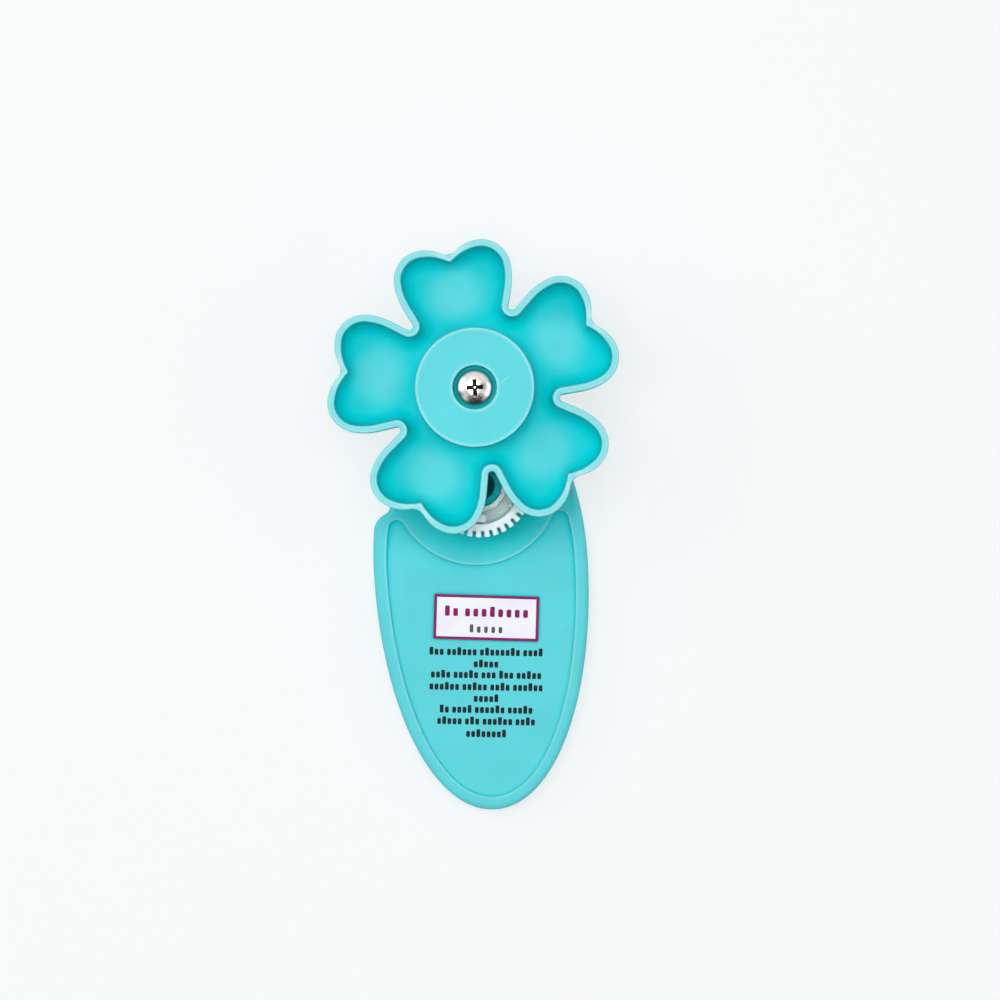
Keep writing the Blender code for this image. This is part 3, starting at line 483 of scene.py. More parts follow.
def upper_leaf(side, angle):
    return (LEAF_AXIS_X + side * LEAF_HALF_WIDTH * math.cos(angle),
            LEAF_WIDEST_Y + LEAF_RISE * math.sin(angle))


def leaf_normal(angle):
    """The way that the upper ellipse faces at a parameter."""
    return math.atan2(LEAF_HALF_WIDTH * math.sin(angle), LEAF_RISE * math.cos(angle))


def right_tangent():
    """Parameter of the upper ellipse where its tangent also touches the head's circle."""
    low, high = 0.0, math.pi / 2
    for _ in range(SEARCH_STEPS):
        middle = (low + high) / 2
        normal = Vector((LEAF_RISE * math.cos(middle), LEAF_HALF_WIDTH * math.sin(middle)))
        point = Vector(upper_leaf(1, middle)) - Vector(KNOB)
        if normal.normalized().dot(point) > HEAD_RADIUS:
            low = middle
        else:
            high = middle
    return low


def leaf_outline():
    """The base: leaf, left shoulder and the round head under the knob."""
    end = right_tangent()
    right = [upper_leaf(1, end * i / MIDDLE_STEPS) for i in range(1, MIDDLE_STEPS + 1)]
    start = math.asin(SHOULDER_RISE / LEAF_RISE)
    corner_normal = math.pi - leaf_normal(start)
    corner = polar(upper_leaf(-1, start), -SHOULDER_RADIUS, corner_normal)
    flat_normal = math.pi / 2 + SHOULDER_SLOPE
    flat_end = polar(polar(corner, SHOULDER_RADIUS, flat_normal), SHOULDER_FLAT, SHOULDER_SLOPE)
    fillet = polar(flat_end, SHOULDER_FILLET, flat_normal)
    to_fillet = Vector(fillet) - Vector(KNOB)
    left_normal = (math.atan2(to_fillet.y, to_fillet.x) + 2 * math.pi
                   - math.acos((HEAD_RADIUS + SHOULDER_FILLET) / to_fillet.length))
    left = [upper_leaf(-1, start * i / SHORT_STEPS) for i in range(SHORT_STEPS - 1, 0, -1)]
    return (right
            + arc(KNOB, HEAD_RADIUS, leaf_normal(end), left_normal, LONG_STEPS)
            + arc(fillet, SHOULDER_FILLET, left_normal + math.pi, flat_normal + math.pi,
                  SHORT_STEPS)
            + arc(corner, SHOULDER_RADIUS, flat_normal, corner_normal, MIDDLE_STEPS)
            + left
            + lower_leaf(LEAF_HALF_WIDTH, LEAF_TIP_LENGTH))


def panel_outline():
    """The sunk panel: the leaf less its border, cut off by the deck's round edge."""
    half_width = LEAF_HALF_WIDTH - PANEL_BORDER
    draw_in = HORN_RADIUS + HORN_DRAW_IN
    horn = (LEAF_AXIS_X + half_width - draw_in, HORN_RISE - DECK_FRONT)
    reach = horn[0] - LEAF_AXIS_X
    deck_radius = (reach ** 2 + HORN_RISE ** 2 - HORN_RADIUS ** 2) / (2 * (HORN_RISE + HORN_RADIUS))
    deck = (LEAF_AXIS_X, deck_radius - DECK_FRONT)
    climb = horn[1] - LEAF_WIDEST_Y
    side_radius = (draw_in ** 2 + climb ** 2 - HORN_RADIUS ** 2) / (2 * HORN_DRAW_IN)
    side = (LEAF_AXIS_X + half_width - side_radius, LEAF_WIDEST_Y)
    side_end = math.atan2(climb, side_radius - draw_in)
    horn_end = math.atan2(deck[1] - horn[1], deck[0] - horn[0])
    right = (arc(side, side_radius, 0.0, side_end, SHORT_STEPS)[1:-1]
             + arc(horn, HORN_RADIUS, side_end, horn_end, MIDDLE_STEPS)
             + arc(deck, deck_radius, horn_end - math.pi, -math.pi / 2, LONG_STEPS)[1:])
    return right + mirrored(right, LEAF_AXIS_X)[1:] + lower_leaf(
        half_width, LEAF_TIP_LENGTH - PANEL_BORDER)


def half_petal(inwards, tip_fillet, brow_extra):
    """From the dent in a petal's tip to the gap beside it, moved inwards; it points to +X."""
    lobe = (LOBE_REACH, LOBE_SPREAD)
    brow = (LOBE_REACH - brow_extra, LOBE_SPREAD)
    lobe_radius, side_radius = LOBE_RADIUS - inwards, SIDE_RADIUS - inwards
    brow_radius = lobe_radius + brow_extra
    notch_radius = NOTCH_RADIUS + inwards
    dent_x = brow[0] + math.sqrt((brow_radius + tip_fillet) ** 2 - LOBE_SPREAD ** 2)
    dent_end = math.atan2(LOBE_SPREAD, brow[0] - dent_x)
    side = polar(lobe, LOBE_RADIUS - SIDE_RADIUS, SIDE_START)
    gap_angle = math.pi / PETALS
    side_normal = math.pi / 2 + gap_angle - GAP_TAPER
    side_end = polar(side, side_radius, side_normal)
    lean = side_end[0] * math.cos(side_normal) + side_end[1] * math.sin(side_normal)
    notch = polar((0.0, 0.0), (lean + notch_radius) / math.sin(GAP_TAPER), gap_angle)
    return (arc((dent_x, 0.0), tip_fillet, math.pi, dent_end, SHORT_STEPS)
            + arc(brow, brow_radius, dent_end - math.pi, 0.0, SHORT_STEPS)[1:]
            + arc(lobe, lobe_radius, 0.0, SIDE_START, MIDDLE_STEPS)[1:]
            + arc(side, side_radius, SIDE_START, side_normal, SHORT_STEPS)[1:]
            + arc(notch, notch_radius, side_normal - math.pi, gap_angle - math.pi, SHORT_STEPS))


def flower_outline(inwards=0.0, tip_fillet=TIP_FILLET, brow_extra=BROW_EXTRA):
    half = half_petal(inwards, tip_fillet, brow_extra)
    petal = [(x, -y) for x, y in reversed(half)] + half[1:-1]
    points = []
    for i in range(PETALS):
        points += rotated(petal, PETAL_PHASE + 2 * math.pi * i / PETALS)
    return moved(points, KNOB)


def gear_outline(addendum, phase, tip_share=TOOTH_TIP_SHARE, root_share=TOOTH_ROOT_SHARE):
    root = PITCH_RADIUS - addendum - TIP_CLEARANCE
    tip = PITCH_RADIUS + addendum
    half_tooth = [(root, TOOTH_PITCH * root_share / 2), (tip, TOOTH_PITCH * tip_share / 2)]
    points = []
    for i in range(TEETH):
        middle = phase + 2 * math.pi * i / TEETH
        points += [polar((0, 0), radius, middle - half / radius) for radius, half in half_tooth]
        points += [polar((0, 0), radius, middle + half / radius)
                   for radius, half in reversed(half_tooth)]
    return points


def slotted_outline(phase):
    """The gear that shows: broad teeth between narrow upright slots with round bottoms."""
    tip = PITCH_RADIUS + DEEP_ADDENDUM
    root, half = PITCH_RADIUS - DEEP_ADDENDUM - TIP_CLEARANCE, SLOT_WIDTH / 2
    side = (arc((tip - SLOT_CORNER, -half - SLOT_CORNER), SLOT_CORNER, 0.0, math.pi / 2,
                CORNER_SEGMENTS)
            + arc((root + half, 0.0), half, 3 * math.pi / 2, math.pi, BEND_STEPS))
    slot = side + [(x, -y) for x, y in reversed(side)][1:]
    points = []
    for i in range(TEETH):
        points += rotated(slot, phase + math.pi / TEETH + 2 * math.pi * i / TEETH)
    return points


def wavy_circle(radius, wave):
    """A circle whose edge wanders, as that of a thin moulded ring does."""
    points = []
    for i in range(ROUND_SIDES):
        angle = 2 * math.pi * i / ROUND_SIDES
        ripple = RIPPLE_SHARE * math.sin(COLLAR_RIPPLES * angle + 1.0)
        wander = (math.sin(COLLAR_WAVES * angle) + ripple) / (1 + RIPPLE_SHARE)
        points.append(polar((0.0, 0.0), radius + wave * wander, angle))
    return points


def round_block(left, right, low, high, radius, steps):
    """A rectangle with round corners."""
    left, right, low, high = left + radius, right - radius, low + radius, high - radius
    points = []
    for i, corner in enumerate([(right, high), (left, high), (left, low), (right, low)]):
        points += arc(corner, radius, i * math.pi / 2, (i + 1) * math.pi / 2, steps)
    return points


def cross_outline(head_radius, slot, taper):
    half_length = head_radius * CROSS_SHARE
    half_slot = slot / 2
    half_end = half_slot * taper
    arm = [(half_end, -half_length), (half_slot, -half_slot), (half_length, -half_end)]
    points = []
    for i in range(4):
        points += rotated(arm, i * math.pi / 2)
    return points


def screw_places():
    """One cover screw near the tip, two in the handle and two at the neck."""
    inset = SIDE_WALL + RUN_GAP + COUNTERBORE_RADIUS + SCREW_MARGIN
    drop = (LEAF_WIDEST_Y - HANDLE_SCREWS_Y) / LEAF_TIP_LENGTH
    handle_x = LEAF_HALF_WIDTH * math.sqrt(1 - drop ** 2) - inset
    climb = (NECK_SCREWS_Y - LEAF_WIDEST_Y) / LEAF_RISE
    neck_x = (HEAD_RADIUS + LEAF_HALF_WIDTH * math.sqrt(1 - climb ** 2)) / 2 - inset + SCREW_MARGIN
    tip_y = LEAF_WIDEST_Y - LEAF_TIP_LENGTH + inset + SCREW_MARGIN
    return [(LEAF_AXIS_X, tip_y),
            (LEAF_AXIS_X - handle_x, HANDLE_SCREWS_Y), (LEAF_AXIS_X + handle_x, HANDLE_SCREWS_Y),
            (-neck_x, NECK_SCREWS_Y), (neck_x, NECK_SCREWS_Y)]


# Modelling steps

def alone(piece=None):
    """Leave nothing selected but one piece, or nothing at all."""
    for item in list(bpy.context.selected_objects):
        item.select_set(False)
    bpy.context.view_layer.objects.active = piece
    if piece is not None:
        piece.select_set(True)


def bend(radius, upright_first, steps=BEND_STEPS):
    """A quarter round as steps of (inwards, onwards), from upright to level or the other way."""
    path = []
    for i in range(steps + 1):
        angle = math.pi / 2 * i / steps
        slow, fast = radius * (1 - math.cos(angle)), radius * math.sin(angle)
        path.append((slow, fast) if upright_first else (fast, slow))
    return [(after[0] - before[0], after[1] - before[1]) for before, after in zip(path, path[1:])]


def extrude(rise):
    """Draw what is selected straight up, or down by a negative rise."""
    bpy.ops.mesh.extrude_region_move(TRANSFORM_OT_translate={"value": (0, 0, rise)})


def apply_move():
    bpy.ops.object.transform_apply(location=True, rotation=False, scale=False)


def shape_end(piece, end, steps):
    """Carry the top face (end 1) or the bottom face (end -1) on, in steps of (inwards, onwards)."""
    alone(piece)
    bpy.ops.object.mode_set(mode="EDIT")
    bpy.ops.mesh.select_mode(type="FACE")
    bpy.ops.mesh.select_all(action="DESELECT")
    shell = bmesh.from_edit_mesh(piece.data)
    cap = max(shell.faces, key=lambda face: end * face.calc_center_median().z)
    cap.select_set(True)
    bmesh.update_edit_mesh(piece.data)
    for inwards, onwards in steps:
        if inwards > 0:
            bpy.ops.mesh.inset(thickness=inwards, depth=onwards)
        else:
            extrude(end * onwards)
    bpy.ops.object.mode_set(mode="OBJECT")
    return piece


def round_ends(piece, top, bottom):
    if top > 0:
        shape_end(piece, 1, bend(top, True))
    if bottom > 0:
        shape_end(piece, -1, bend(bottom, True))
    return piece


def drawn(name, loops, level, thickness=0.0):
    """Closed flat curves as a mesh, filled if it has a thickness, and put at a level."""
    alone()
    bpy.ops.curve.primitive_bezier_circle_add(location=(0.0, 0.0, 0.0))
    item = bpy.context.object
    item.name = name
    curve = item.data
    curve.splines.clear()
    curve.dimensions = "2D"
    curve.fill_mode = "BOTH" if thickness else "NONE"
    curve.extrude = thickness / 2
    for loop in loops:
        spline = curve.splines.new("POLY")
        spline.points.add(len(loop) - 1)
        for point, (x, y) in zip(spline.points, loop):
            point.co = (x, y, 0.0, 1.0)
        spline.use_cyclic_u = True
    bpy.ops.object.convert(target="MESH")
    item = bpy.context.object
    item.location = (0.0, 0.0, level + thickness / 2)
    apply_move()
    return item


def prism(name, points, low, high, corner=0.0, top=0.0, bottom=0.0):
    """An outline filled, its corners rounded, drawn up to its height and rounded at its ends."""
    piece = drawn(name, [points], low + bottom)
    bpy.ops.object.mode_set(mode="EDIT")
    bpy.ops.mesh.select_mode(type="VERT")
    bpy.ops.mesh.select_all(action="SELECT")
    bpy.ops.mesh.edge_face_add()
    if corner > 0:
        bpy.ops.mesh.bevel(offset=corner, segments=CORNER_SEGMENTS, affect="VERTICES")
    bpy.ops.mesh.select_all(action="SELECT")
    extrude(high - top - low - bottom)
    bpy.ops.mesh.select_all(action="SELECT")
    bpy.ops.mesh.normals_make_consistent(inside=False)
    bpy.ops.object.mode_set(mode="OBJECT")
    return round_ends(piece, top, bottom)


def rod(name, place, radius, low, high, sides=ROUND_SIDES, top=0.0, bottom=0.0):
    """An upright cylinder, rounded at its ends."""
    alone()
    middle = (low + bottom + high - top) / 2
    bpy.ops.mesh.primitive_cylinder_add(vertices=sides, radius=radius,
                                        depth=high - top - low - bottom, location=(*place, middle))
    piece = bpy.context.object
    piece.name = name
    apply_move()
    return round_ends(piece, top, bottom)


def recess_steps(depth, lip, cove):
    """Steps of a recess: a rounded lip, an upright wall and a rounded floor."""
    return bend(lip, False) + [(0.0, depth - lip - cove)] + bend(cove, True)


def round_sink(name, place, radius, level, depth, lip, cove, end=-1, sides=ROUND_SIDES):
    """A cutter for a round recess that goes down from a level (end -1) or up from it (end 1)."""
    near, far = level - end * SKIM, level - end * CUT_OVER
    tool = rod(name, place, radius + lip, min(near, far), max(near, far), sides)
    return shape_end(tool, end, recess_steps(depth + SKIM, lip, cove))


def combine(piece, tool, operation):
    """Cut a tool from the piece, or fuse it on, and remove the tool."""
    alone(piece)
    bpy.ops.object.modifier_add(type="BOOLEAN")
    fit = piece.modifiers[-1]
    fit.operation = operation
    fit.solver = "EXACT"
    fit.object = tool
    bpy.ops.object.modifier_apply(modifier=fit.name)
    alone(tool)
    bpy.ops.object.delete()


def cut(piece, tool):
    combine(piece, tool, "DIFFERENCE")


def fuse(piece, tool):
    combine(piece, tool, "UNION")


def joined(tools):
    """Several tools that don't touch, made one."""
    alone(tools[0])
    for tool in tools[1:]:
        tool.select_set(True)
    bpy.ops.object.join()
    return tools[0]


def each(places, maker, name, *shape):
    """The same tool at every place, joined."""
    return joined([maker(name, place, *shape) for place in places])


def clean(piece):
    """Merge doubles, turn the faces outwards and smooth what bends gently."""
    alone(piece)
    bpy.ops.object.mode_set(mode="EDIT")
    bpy.ops.mesh.select_mode(type="VERT")
    bpy.ops.mesh.select_all(action="SELECT")
    bpy.ops.mesh.remove_doubles(threshold=SAME)
    bpy.ops.mesh.dissolve_degenerate(threshold=SAME)
    bpy.ops.mesh.select_all(action="SELECT")
    bpy.ops.mesh.normals_make_consistent(inside=False)
    bpy.ops.object.mode_set(mode="OBJECT")
    bpy.ops.object.shade_smooth_by_angle(angle=SHARP_ANGLE)
    bpy.ops.object.modifier_add(type="WEIGHTED_NORMAL")
    weight = piece.modifiers[-1]
    weight.keep_sharp = True
    bpy.ops.object.modifier_apply(modifier=weight.name)


def settle(piece, body, finish, nodes=()):
    """Give a modelled piece its finish and its body, and hide the solids that it stands for."""
    clean(piece)
    piece.data.materials.clear()
    piece.data.materials.append(finish)
    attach(piece, body)
    if nodes:
        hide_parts(*nodes)


# Finishes

def put(tree, kind, settings=None, **sockets):
    """Add a node. Its sockets take numbers, colours or another node's output."""
    made = tree.nodes.new("ShaderNode" + kind)
    for name, value in (settings or {}).items():
        setattr(made, name, value)
    for name, value in sockets.items():
        feed(tree, made.inputs[name.replace("_", " ")], value)
    return made


def feed(tree, socket, value):
    """Link another node's output to a socket, or set the socket's own number or colour."""
    if isinstance(value, bpy.types.NodeSocket):
        tree.links.new(value, socket)
    elif socket.type == "RGBA":
        socket.default_value = (*value, 1.0)
    else:
        socket.default_value = value


def mixed(tree, share, first, second):
    """A colour between two colours."""
    made = put(tree, "Mix", {"data_type": "RGBA"})
    for number, value in ((0, share), (6, first), (7, second)):
        feed(tree, made.inputs[number], value)
    return made.outputs[2]


def ranged(tree, value, low, high, to_low=0.0, to_high=1.0):
    """A value carried smoothly from one range to another."""
    return put(tree, "MapRange", {"interpolation_type": "SMOOTHSTEP"}, Value=value, From_Min=low,
               From_Max=high, To_Min=to_low, To_Max=to_high).outputs["Result"]


def worked(tree, operation, *values):
    """The result of a Math node."""
    made = put(tree, "Math", {"operation": operation})
    for socket, value in zip(made.inputs, values):
        feed(tree, socket, value)
    return made.outputs[0]


def product(tree, first, second):
    return worked(tree, "MULTIPLY", first, second)


def larger(tree, first, second):
    return worked(tree, "MAXIMUM", first, second)


def noise(tree, place, size, detail=2.0, roughness=0.5, distortion=0.0):
    """Noise whose patches have about the given size."""
    return put(tree, "TexNoise", Vector=place, Scale=1 / size, Detail=detail, Roughness=roughness,
               Distortion=distortion).outputs["Fac"]


def shelter(tree, reach, inside=False):
    """How open a point is: 1 in the open, less where walls stand within reach."""
    return put(tree, "AmbientOcclusion", {"samples": 16, "inside": inside, "only_local": inside},
               Distance=reach).outputs["AO"]


def axes(tree, vector):
    return put(tree, "SeparateXYZ", Vector=vector).outputs


def length(tree, x, y):
    """The length of a level vector."""
    level = put(tree, "CombineXYZ", X=x, Y=y).outputs["Vector"]
    return put(tree, "VectorMath", {"operation": "LENGTH"}, Vector=level).outputs["Value"]


def centred(tree, place, centre):
    """A place as measured from an upright axis."""
    back = (-centre[0], -centre[1], 0.0)
    return put(tree, "Mapping", Vector=place, Location=back).outputs["Vector"]


def beside_axis(tree, local):
    """The coordinates of a place measured from an upright axis, and its distance from that axis."""
    split = axes(tree, local)
    return split, length(tree, split["X"], split["Y"])


def turned(tree, place, middle, turn):
    """A place's coordinates along turned axes, measured from a middle."""
    local = put(tree, "Mapping", {"vector_type": "TEXTURE"}, Vector=place, Location=(*middle, 0.0),
                Rotation=(0.0, 0.0, turn)).outputs["Vector"]
    return axes(tree, local)


def new_finish(name, **sockets):
    """A new material's nodes, its shader, and the Object coordinates that its patterns read."""
    finish = bpy.data.materials.new(name)
    finish.use_nodes = True
    tree = finish.node_tree
    shader = tree.nodes["Principled BSDF"]
    for socket, value in sockets.items():
        shader.inputs[socket.replace("_", " ")].default_value = value
    return tree, shader, put(tree, "TexCoord").outputs["Object"]


def finish_named(name, maker, *arguments):
    """The finish of that name, made the first time that it is asked for."""
    if name not in bpy.data.materials:
        maker(name, *arguments)
    return bpy.data.materials[name]


def raised(tree, shader, height, depth):
    """Let a height show in the shader's normals."""
    bump = put(tree, "Bump", Strength=1.0, Distance=depth, Height=height)
    feed(tree, shader.inputs["Normal"], bump.outputs["Normal"])


def grained(tree, shader, place, colour, grain, depth, patches, gloss):
    """The shader's colour, fine grain in its surface, and gloss that varies from patch to patch."""
    feed(tree, shader.inputs["Base Color"], colour)
    raised(tree, shader, noise(tree, place, grain, detail=3.0, roughness=0.6), depth)
    wide = noise(tree, place, patches, detail=4.0, roughness=0.6)
    feed(tree, shader.inputs["Roughness"], ranged(tree, wide, 0.3, 0.7, *gloss))


def teal_finish(name, of_knob=False):
    """Satin teal plastic with painted shade in its corners, a painted glow where rims are thin, and
    flow patches.
    """
    colours = bpy.context.scene.crimper_colours
    tree, shader, place = new_finish(name, Specular_IOR_Level=0.04)
    # Painted shade: the teal deepens where walls or the knob stand near and shade it
    openness = shelter(tree, OPEN_REACH)
    unshaded_share, shade = ranged(tree, openness, 0.64, 0.88), 0.95
    if of_knob:
        # Painted light and shade on the knob's cups: shade on the floor near walls and between
        # petals, a lit patch in each petal
        split, radius = beside_axis(tree, centred(tree, place, KNOB))
        patch = cup_lit_patch(tree, split, radius)
        unshaded_share = product(tree, ranged(tree, openness, 0.42, 0.60), patch)
        shade = 1.0
    colour = mixed(tree, unshaded_share, colours.teal_painted_shade, colours.teal)
    # Painted glow on thin rims and edges, as light through them, with less of it where the teal is
    # shaded
    thin = ranged(tree, shelter(tree, THIN_REACH, inside=True), 0.95, 0.35)
    thin = product(tree, thin, ranged(tree, openness, 0.25, 0.6))
    colour = mixed(tree, thin, colour, colours.teal_glow_and_scratch)
    if of_knob:
        # Painted shade in the screw's recess
        colour = mixed(tree, recess_painted_shade(tree, split, radius), colour, RECESS_PAINTED_SHADE)
        colour = mixed(tree, hub_scratch(tree, place), colour, colours.teal_glow_and_scratch)
    flow = noise(tree, place, 14 * MM, detail=3.0, distortion=0.8)
    specks = noise(tree, place, 0.5 * MM, detail=1.0)
    tint = product(tree, ranged(tree, flow, 0.3, 0.7, 0.965 * shade, 1.02 * shade),
                   ranged(tree, specks, 0.68, 0.8, 1.0, 0.96))
    colour = put(tree, "HueSaturation", Color=colour, Value=tint).outputs["Color"]
    grained(tree, shader, place, colour, grain=0.22 * MM, depth=0.006 * MM, patches=9 * MM,
            gloss=(0.34, 0.44))


def cup_lit_patch(tree, split, radius):
    """How far a point shows the paler teal and escapes the painted shade: all but the cup's floor
    outside a painted lit patch in each petal's middle.
    """
    turn = worked(tree, "SUBTRACT", worked(tree, "ARCTAN2", split["Y"], split["X"]), PETAL_PHASE)
    turn = worked(tree, "WRAP", turn, math.pi / PETALS, -math.pi / PETALS)
    outwards = product(tree, radius, worked(tree, "COSINE", turn))
    along = worked(tree, "DIVIDE", worked(tree, "SUBTRACT", outwards, LIT_PATCH_REACH), LIT_PATCH_DEPTH)
    across = worked(tree, "DIVIDE", product(tree, radius, worked(tree, "SINE", turn)), LIT_PATCH_SPREAD)
    near = ranged(tree, length(tree, along, across), 0.45, 1.25, 1.0, 0.0)
    above = ranged(tree, split["Z"], FLOOR_LEVEL + 0.5 * MM, FLOOR_LEVEL + 3.0 * MM)
    facing = axes(tree, put(tree, "NewGeometry").outputs["Normal"])["Z"]
    elsewhere = larger(tree, above, ranged(tree, facing, 0.15, 0.5, 1.0, 0.0))
    return larger(tree, near, elsewhere)


def recess_painted_shade(tree, split, radius):
    """Painted shade: darker in the screw's recess, most of all in a ring round the washer."""
    low = ranged(tree, split["Z"], HUB_TOP - 1.2 * MM, HUB_TOP - 0.4 * MM, 0.07, 0.0)
    within = ranged(tree, radius, RECESS_RADIUS, RECESS_RADIUS + 0.1 * MM, 1.0, 0.0)
    ring = ranged(tree, radius, KNOB_HEAD_RADIUS + 0.2 * MM, KNOB_HEAD_RADIUS + 0.95 * MM,
                  0.65, 0.0)
    foot = ranged(tree, split["Z"], RECESS_FLOOR + 0.1 * MM, RECESS_FLOOR + 0.4 * MM, 1.0, 0.0)
    return larger(tree, product(tree, low, within), product(tree, ring, foot))


def hub_scratch(tree, place):
    """A short fine scratch on the hub's face, as a share from 0 to 1."""
    split = turned(tree, place, SCRATCH_START, SCRATCH_TURN)
    wander = product(tree, noise(tree, place, 1.2 * MM), 0.25 * MM)
    away = worked(tree, "ABSOLUTE", worked(tree, "SUBTRACT", split["Y"], wander))
    line = ranged(tree, away, 0.03 * MM, 0.10 * MM, 1.0, 0.0)
    stretch = product(tree, ranged(tree, split["X"], 0.0, 1.0 * MM),
                      ranged(tree, split["X"], 3.0 * MM, 3.7 * MM, 1.0, 0.0))
    above = ranged(tree, split["Z"], HUB_TOP - 0.2 * MM, HUB_TOP - 0.05 * MM)
    return product(tree, product(tree, line, stretch), product(tree, above, 0.7))


def white_finish(name, centre=None):
    """Smooth white plastic with painted shade between its walls, and faint handling marks."""
    colours = bpy.context.scene.crimper_colours
    tree, shader, place = new_finish(name, Specular_IOR_Level=0.25)
    # Painted shade: greyer where walls stand near and shade the white
    unshaded_share = ranged(tree, shelter(tree, WALLS_REACH), 0.2, 0.85)
    colour = mixed(tree, unshaded_share, colours.white_painted_shade, colours.white)
    smudge = noise(tree, place, 2.2 * MM, detail=5.0, roughness=0.65, distortion=1.2)
    colour = mixed(tree, ranged(tree, smudge, 0.62, 0.85, 0.0, 0.25), colour, HANDLING_GREY)
    if centre is not None:
        colour = sunk_web(tree, centred(tree, place, centre), place, colour, colours.white_web_painted_shade)
    grained(tree, shader, place, colour, grain=0.3 * MM, depth=0.004 * MM, patches=3 * MM,
            gloss=(0.28, 0.42))


def sunk_web(tree, local, place, colour, web_painted_shade):
    """Painted shade on the gear's low web and its collar, with brown spots in a ring beside the
    collar.
    """
    split, radius = beside_axis(tree, local)
    low = ranged(tree, split["Z"], WEB_LEVEL + 0.1 * MM, WEB_LEVEL + 0.9 * MM, 1.0, 0.0)
    within = ranged(tree, radius, RIM_RADIUS - 0.1 * MM, RIM_RADIUS + 0.1 * MM, 1.0, 0.0)
    ring = ranged(tree, radius, COLLAR_RADIUS, COLLAR_RADIUS + 0.3 * MM, 0.32, 0.0)
    # Painted shade on the web below the rim and on the collar
    colour = mixed(tree, larger(tree, product(tree, low, within), ring), colour, web_painted_shade)
    # Brown spots in a ring just beside the collar
    spots = ranged(tree, noise(tree, place, 1.1 * MM, detail=3.0), 0.60, 0.70)
    near = ranged(tree, radius, COLLAR_RADIUS + 0.2 * MM, COLLAR_RADIUS + 0.6 * MM, 0.7, 0.0)
    return mixed(tree, product(tree, spots, near), colour, WEB_SPOT_BROWN)


def steel_finish(name, centre, driven=False):
    """Bright plating on turned steel: rings round its middle, dust, and in a driven head, grime and
    painted shade in the cross and painted shade round the brim.
    """
    tree, shader, place = new_finish(name, Metallic=1.0, Specular_IOR_Level=0.02)
    middle = centred(tree, place, centre)
    rings = put(tree, "TexWave", {"wave_type": "RINGS", "rings_direction": "Z"}, Vector=middle,
                Scale=700.0, Distortion=2.5, Detail=3.0, Detail_Scale=2.0).outputs["Fac"]
    dust = noise(tree, place, 0.35 * MM, detail=4.0, roughness=0.7)
    steel = bpy.context.scene.crimper_colours.steel
    colour = mixed(tree, ranged(tree, dust, 0.6, 0.78, 0.0, 0.5), steel, DUST_BROWN)
    if driven:
        split, radius = beside_axis(tree, middle)
        # Grime and painted shade in the cross's recess, plating in its very middle
        above = ranged(tree, split["Z"], KNOB_HEAD_TOP - 0.36 * MM, KNOB_HEAD_TOP - 0.22 * MM)
        clean_lit_metal = larger(tree, above, ranged(tree, radius, 2.2 * MM, 2.35 * MM))
        clean_lit_metal = larger(tree, clean_lit_metal, ranged(tree, radius, 0.12 * MM, 0.32 * MM, 0.9, 0.0))
        # Painted shade round the brim, tinted by the teal recess that the brim mirrors
        brim = ranged(tree, radius, 0.84 * KNOB_HEAD_RADIUS, KNOB_HEAD_RADIUS, 0.0, 0.75)
        colour = mixed(tree, clean_lit_metal, CROSS_GRIME_AND_SHADE, mixed(tree, brim, colour, BRIM_PAINTED_SHADE))
        feed(tree, shader.inputs["Metallic"], clean_lit_metal)
    feed(tree, shader.inputs["Base Color"], colour)
    raised(tree, shader, worked(tree, "ADD", product(tree, rings, 0.35), dust), 0.004 * MM)
    feed(tree, shader.inputs["Roughness"], ranged(tree, dust, 0.35, 0.75, 0.10, 0.30))


def label_finish(name):
    """Coated white paper with a printed border along its edges."""
    colours = bpy.context.scene.crimper_colours
    tree, shader, place = new_finish(name, Specular_IOR_Level=0.06)
    split = turned(tree, place, LABEL_MIDDLE, LABEL_TURN)
    edges = []
    for axis, width in (("X", LABEL_WIDTH), ("Y", LABEL_HEIGHT)):
        line = width / 2 - bpy.context.scene.crimper_sizes.label_border
        away = worked(tree, "ABSOLUTE", split[axis])
        edges.append(ranged(tree, away, line - 0.04 * MM, line + 0.04 * MM))
    cloud = noise(tree, place, 5 * MM, detail=3.0)
    face = mixed(tree, ranged(tree, cloud, 0.35, 0.7), colours.label_face, LABEL_SHADE)
    uneven = noise(tree, place, 0.8 * MM, detail=3.0)
    ink = mixed(tree, ranged(tree, uneven, 0.4, 0.7), colours.label_edge, BORDER_SHADE)
    colour = mixed(tree, larger(tree, *edges), face, ink)
    grained(tree, shader, place, colour, grain=0.12 * MM, depth=0.002 * MM, patches=4 * MM,
            gloss=(0.22, 0.34))


def ink_finish(name, ink, faded):
    """Screen-printed ink, a little uneven."""
    tree, shader, place = new_finish(name, Specular_IOR_Level=0.08)
    uneven = noise(tree, place, 0.45 * MM, detail=3.0)
    colour = mixed(tree, ranged(tree, uneven, 0.5, 0.8), ink, faded)
    grained(tree, shader, place, colour, grain=0.1 * MM, depth=0.003 * MM, patches=1 * MM,
            gloss=(0.38, 0.5))


def blended(tree, share, first, second, output):
    """Let a material or world show its second shader by a share."""
    blend = put(tree, "MixShader")
    for socket, value in zip(blend.inputs, (share, first.outputs[0], second.outputs[0])):
        feed(tree, socket, value)
    feed(tree, output.inputs["Surface"], blend.outputs[0])


def seen_rays(tree):
    """1 for what camera, gloss or glass looks at, and 0 for light that lands on the object."""
    path = put(tree, "LightPath").outputs
    either = larger(tree, path["Is Camera Ray"], path["Is Glossy Ray"])
    return larger(tree, either, path["Is Transmission Ray"])


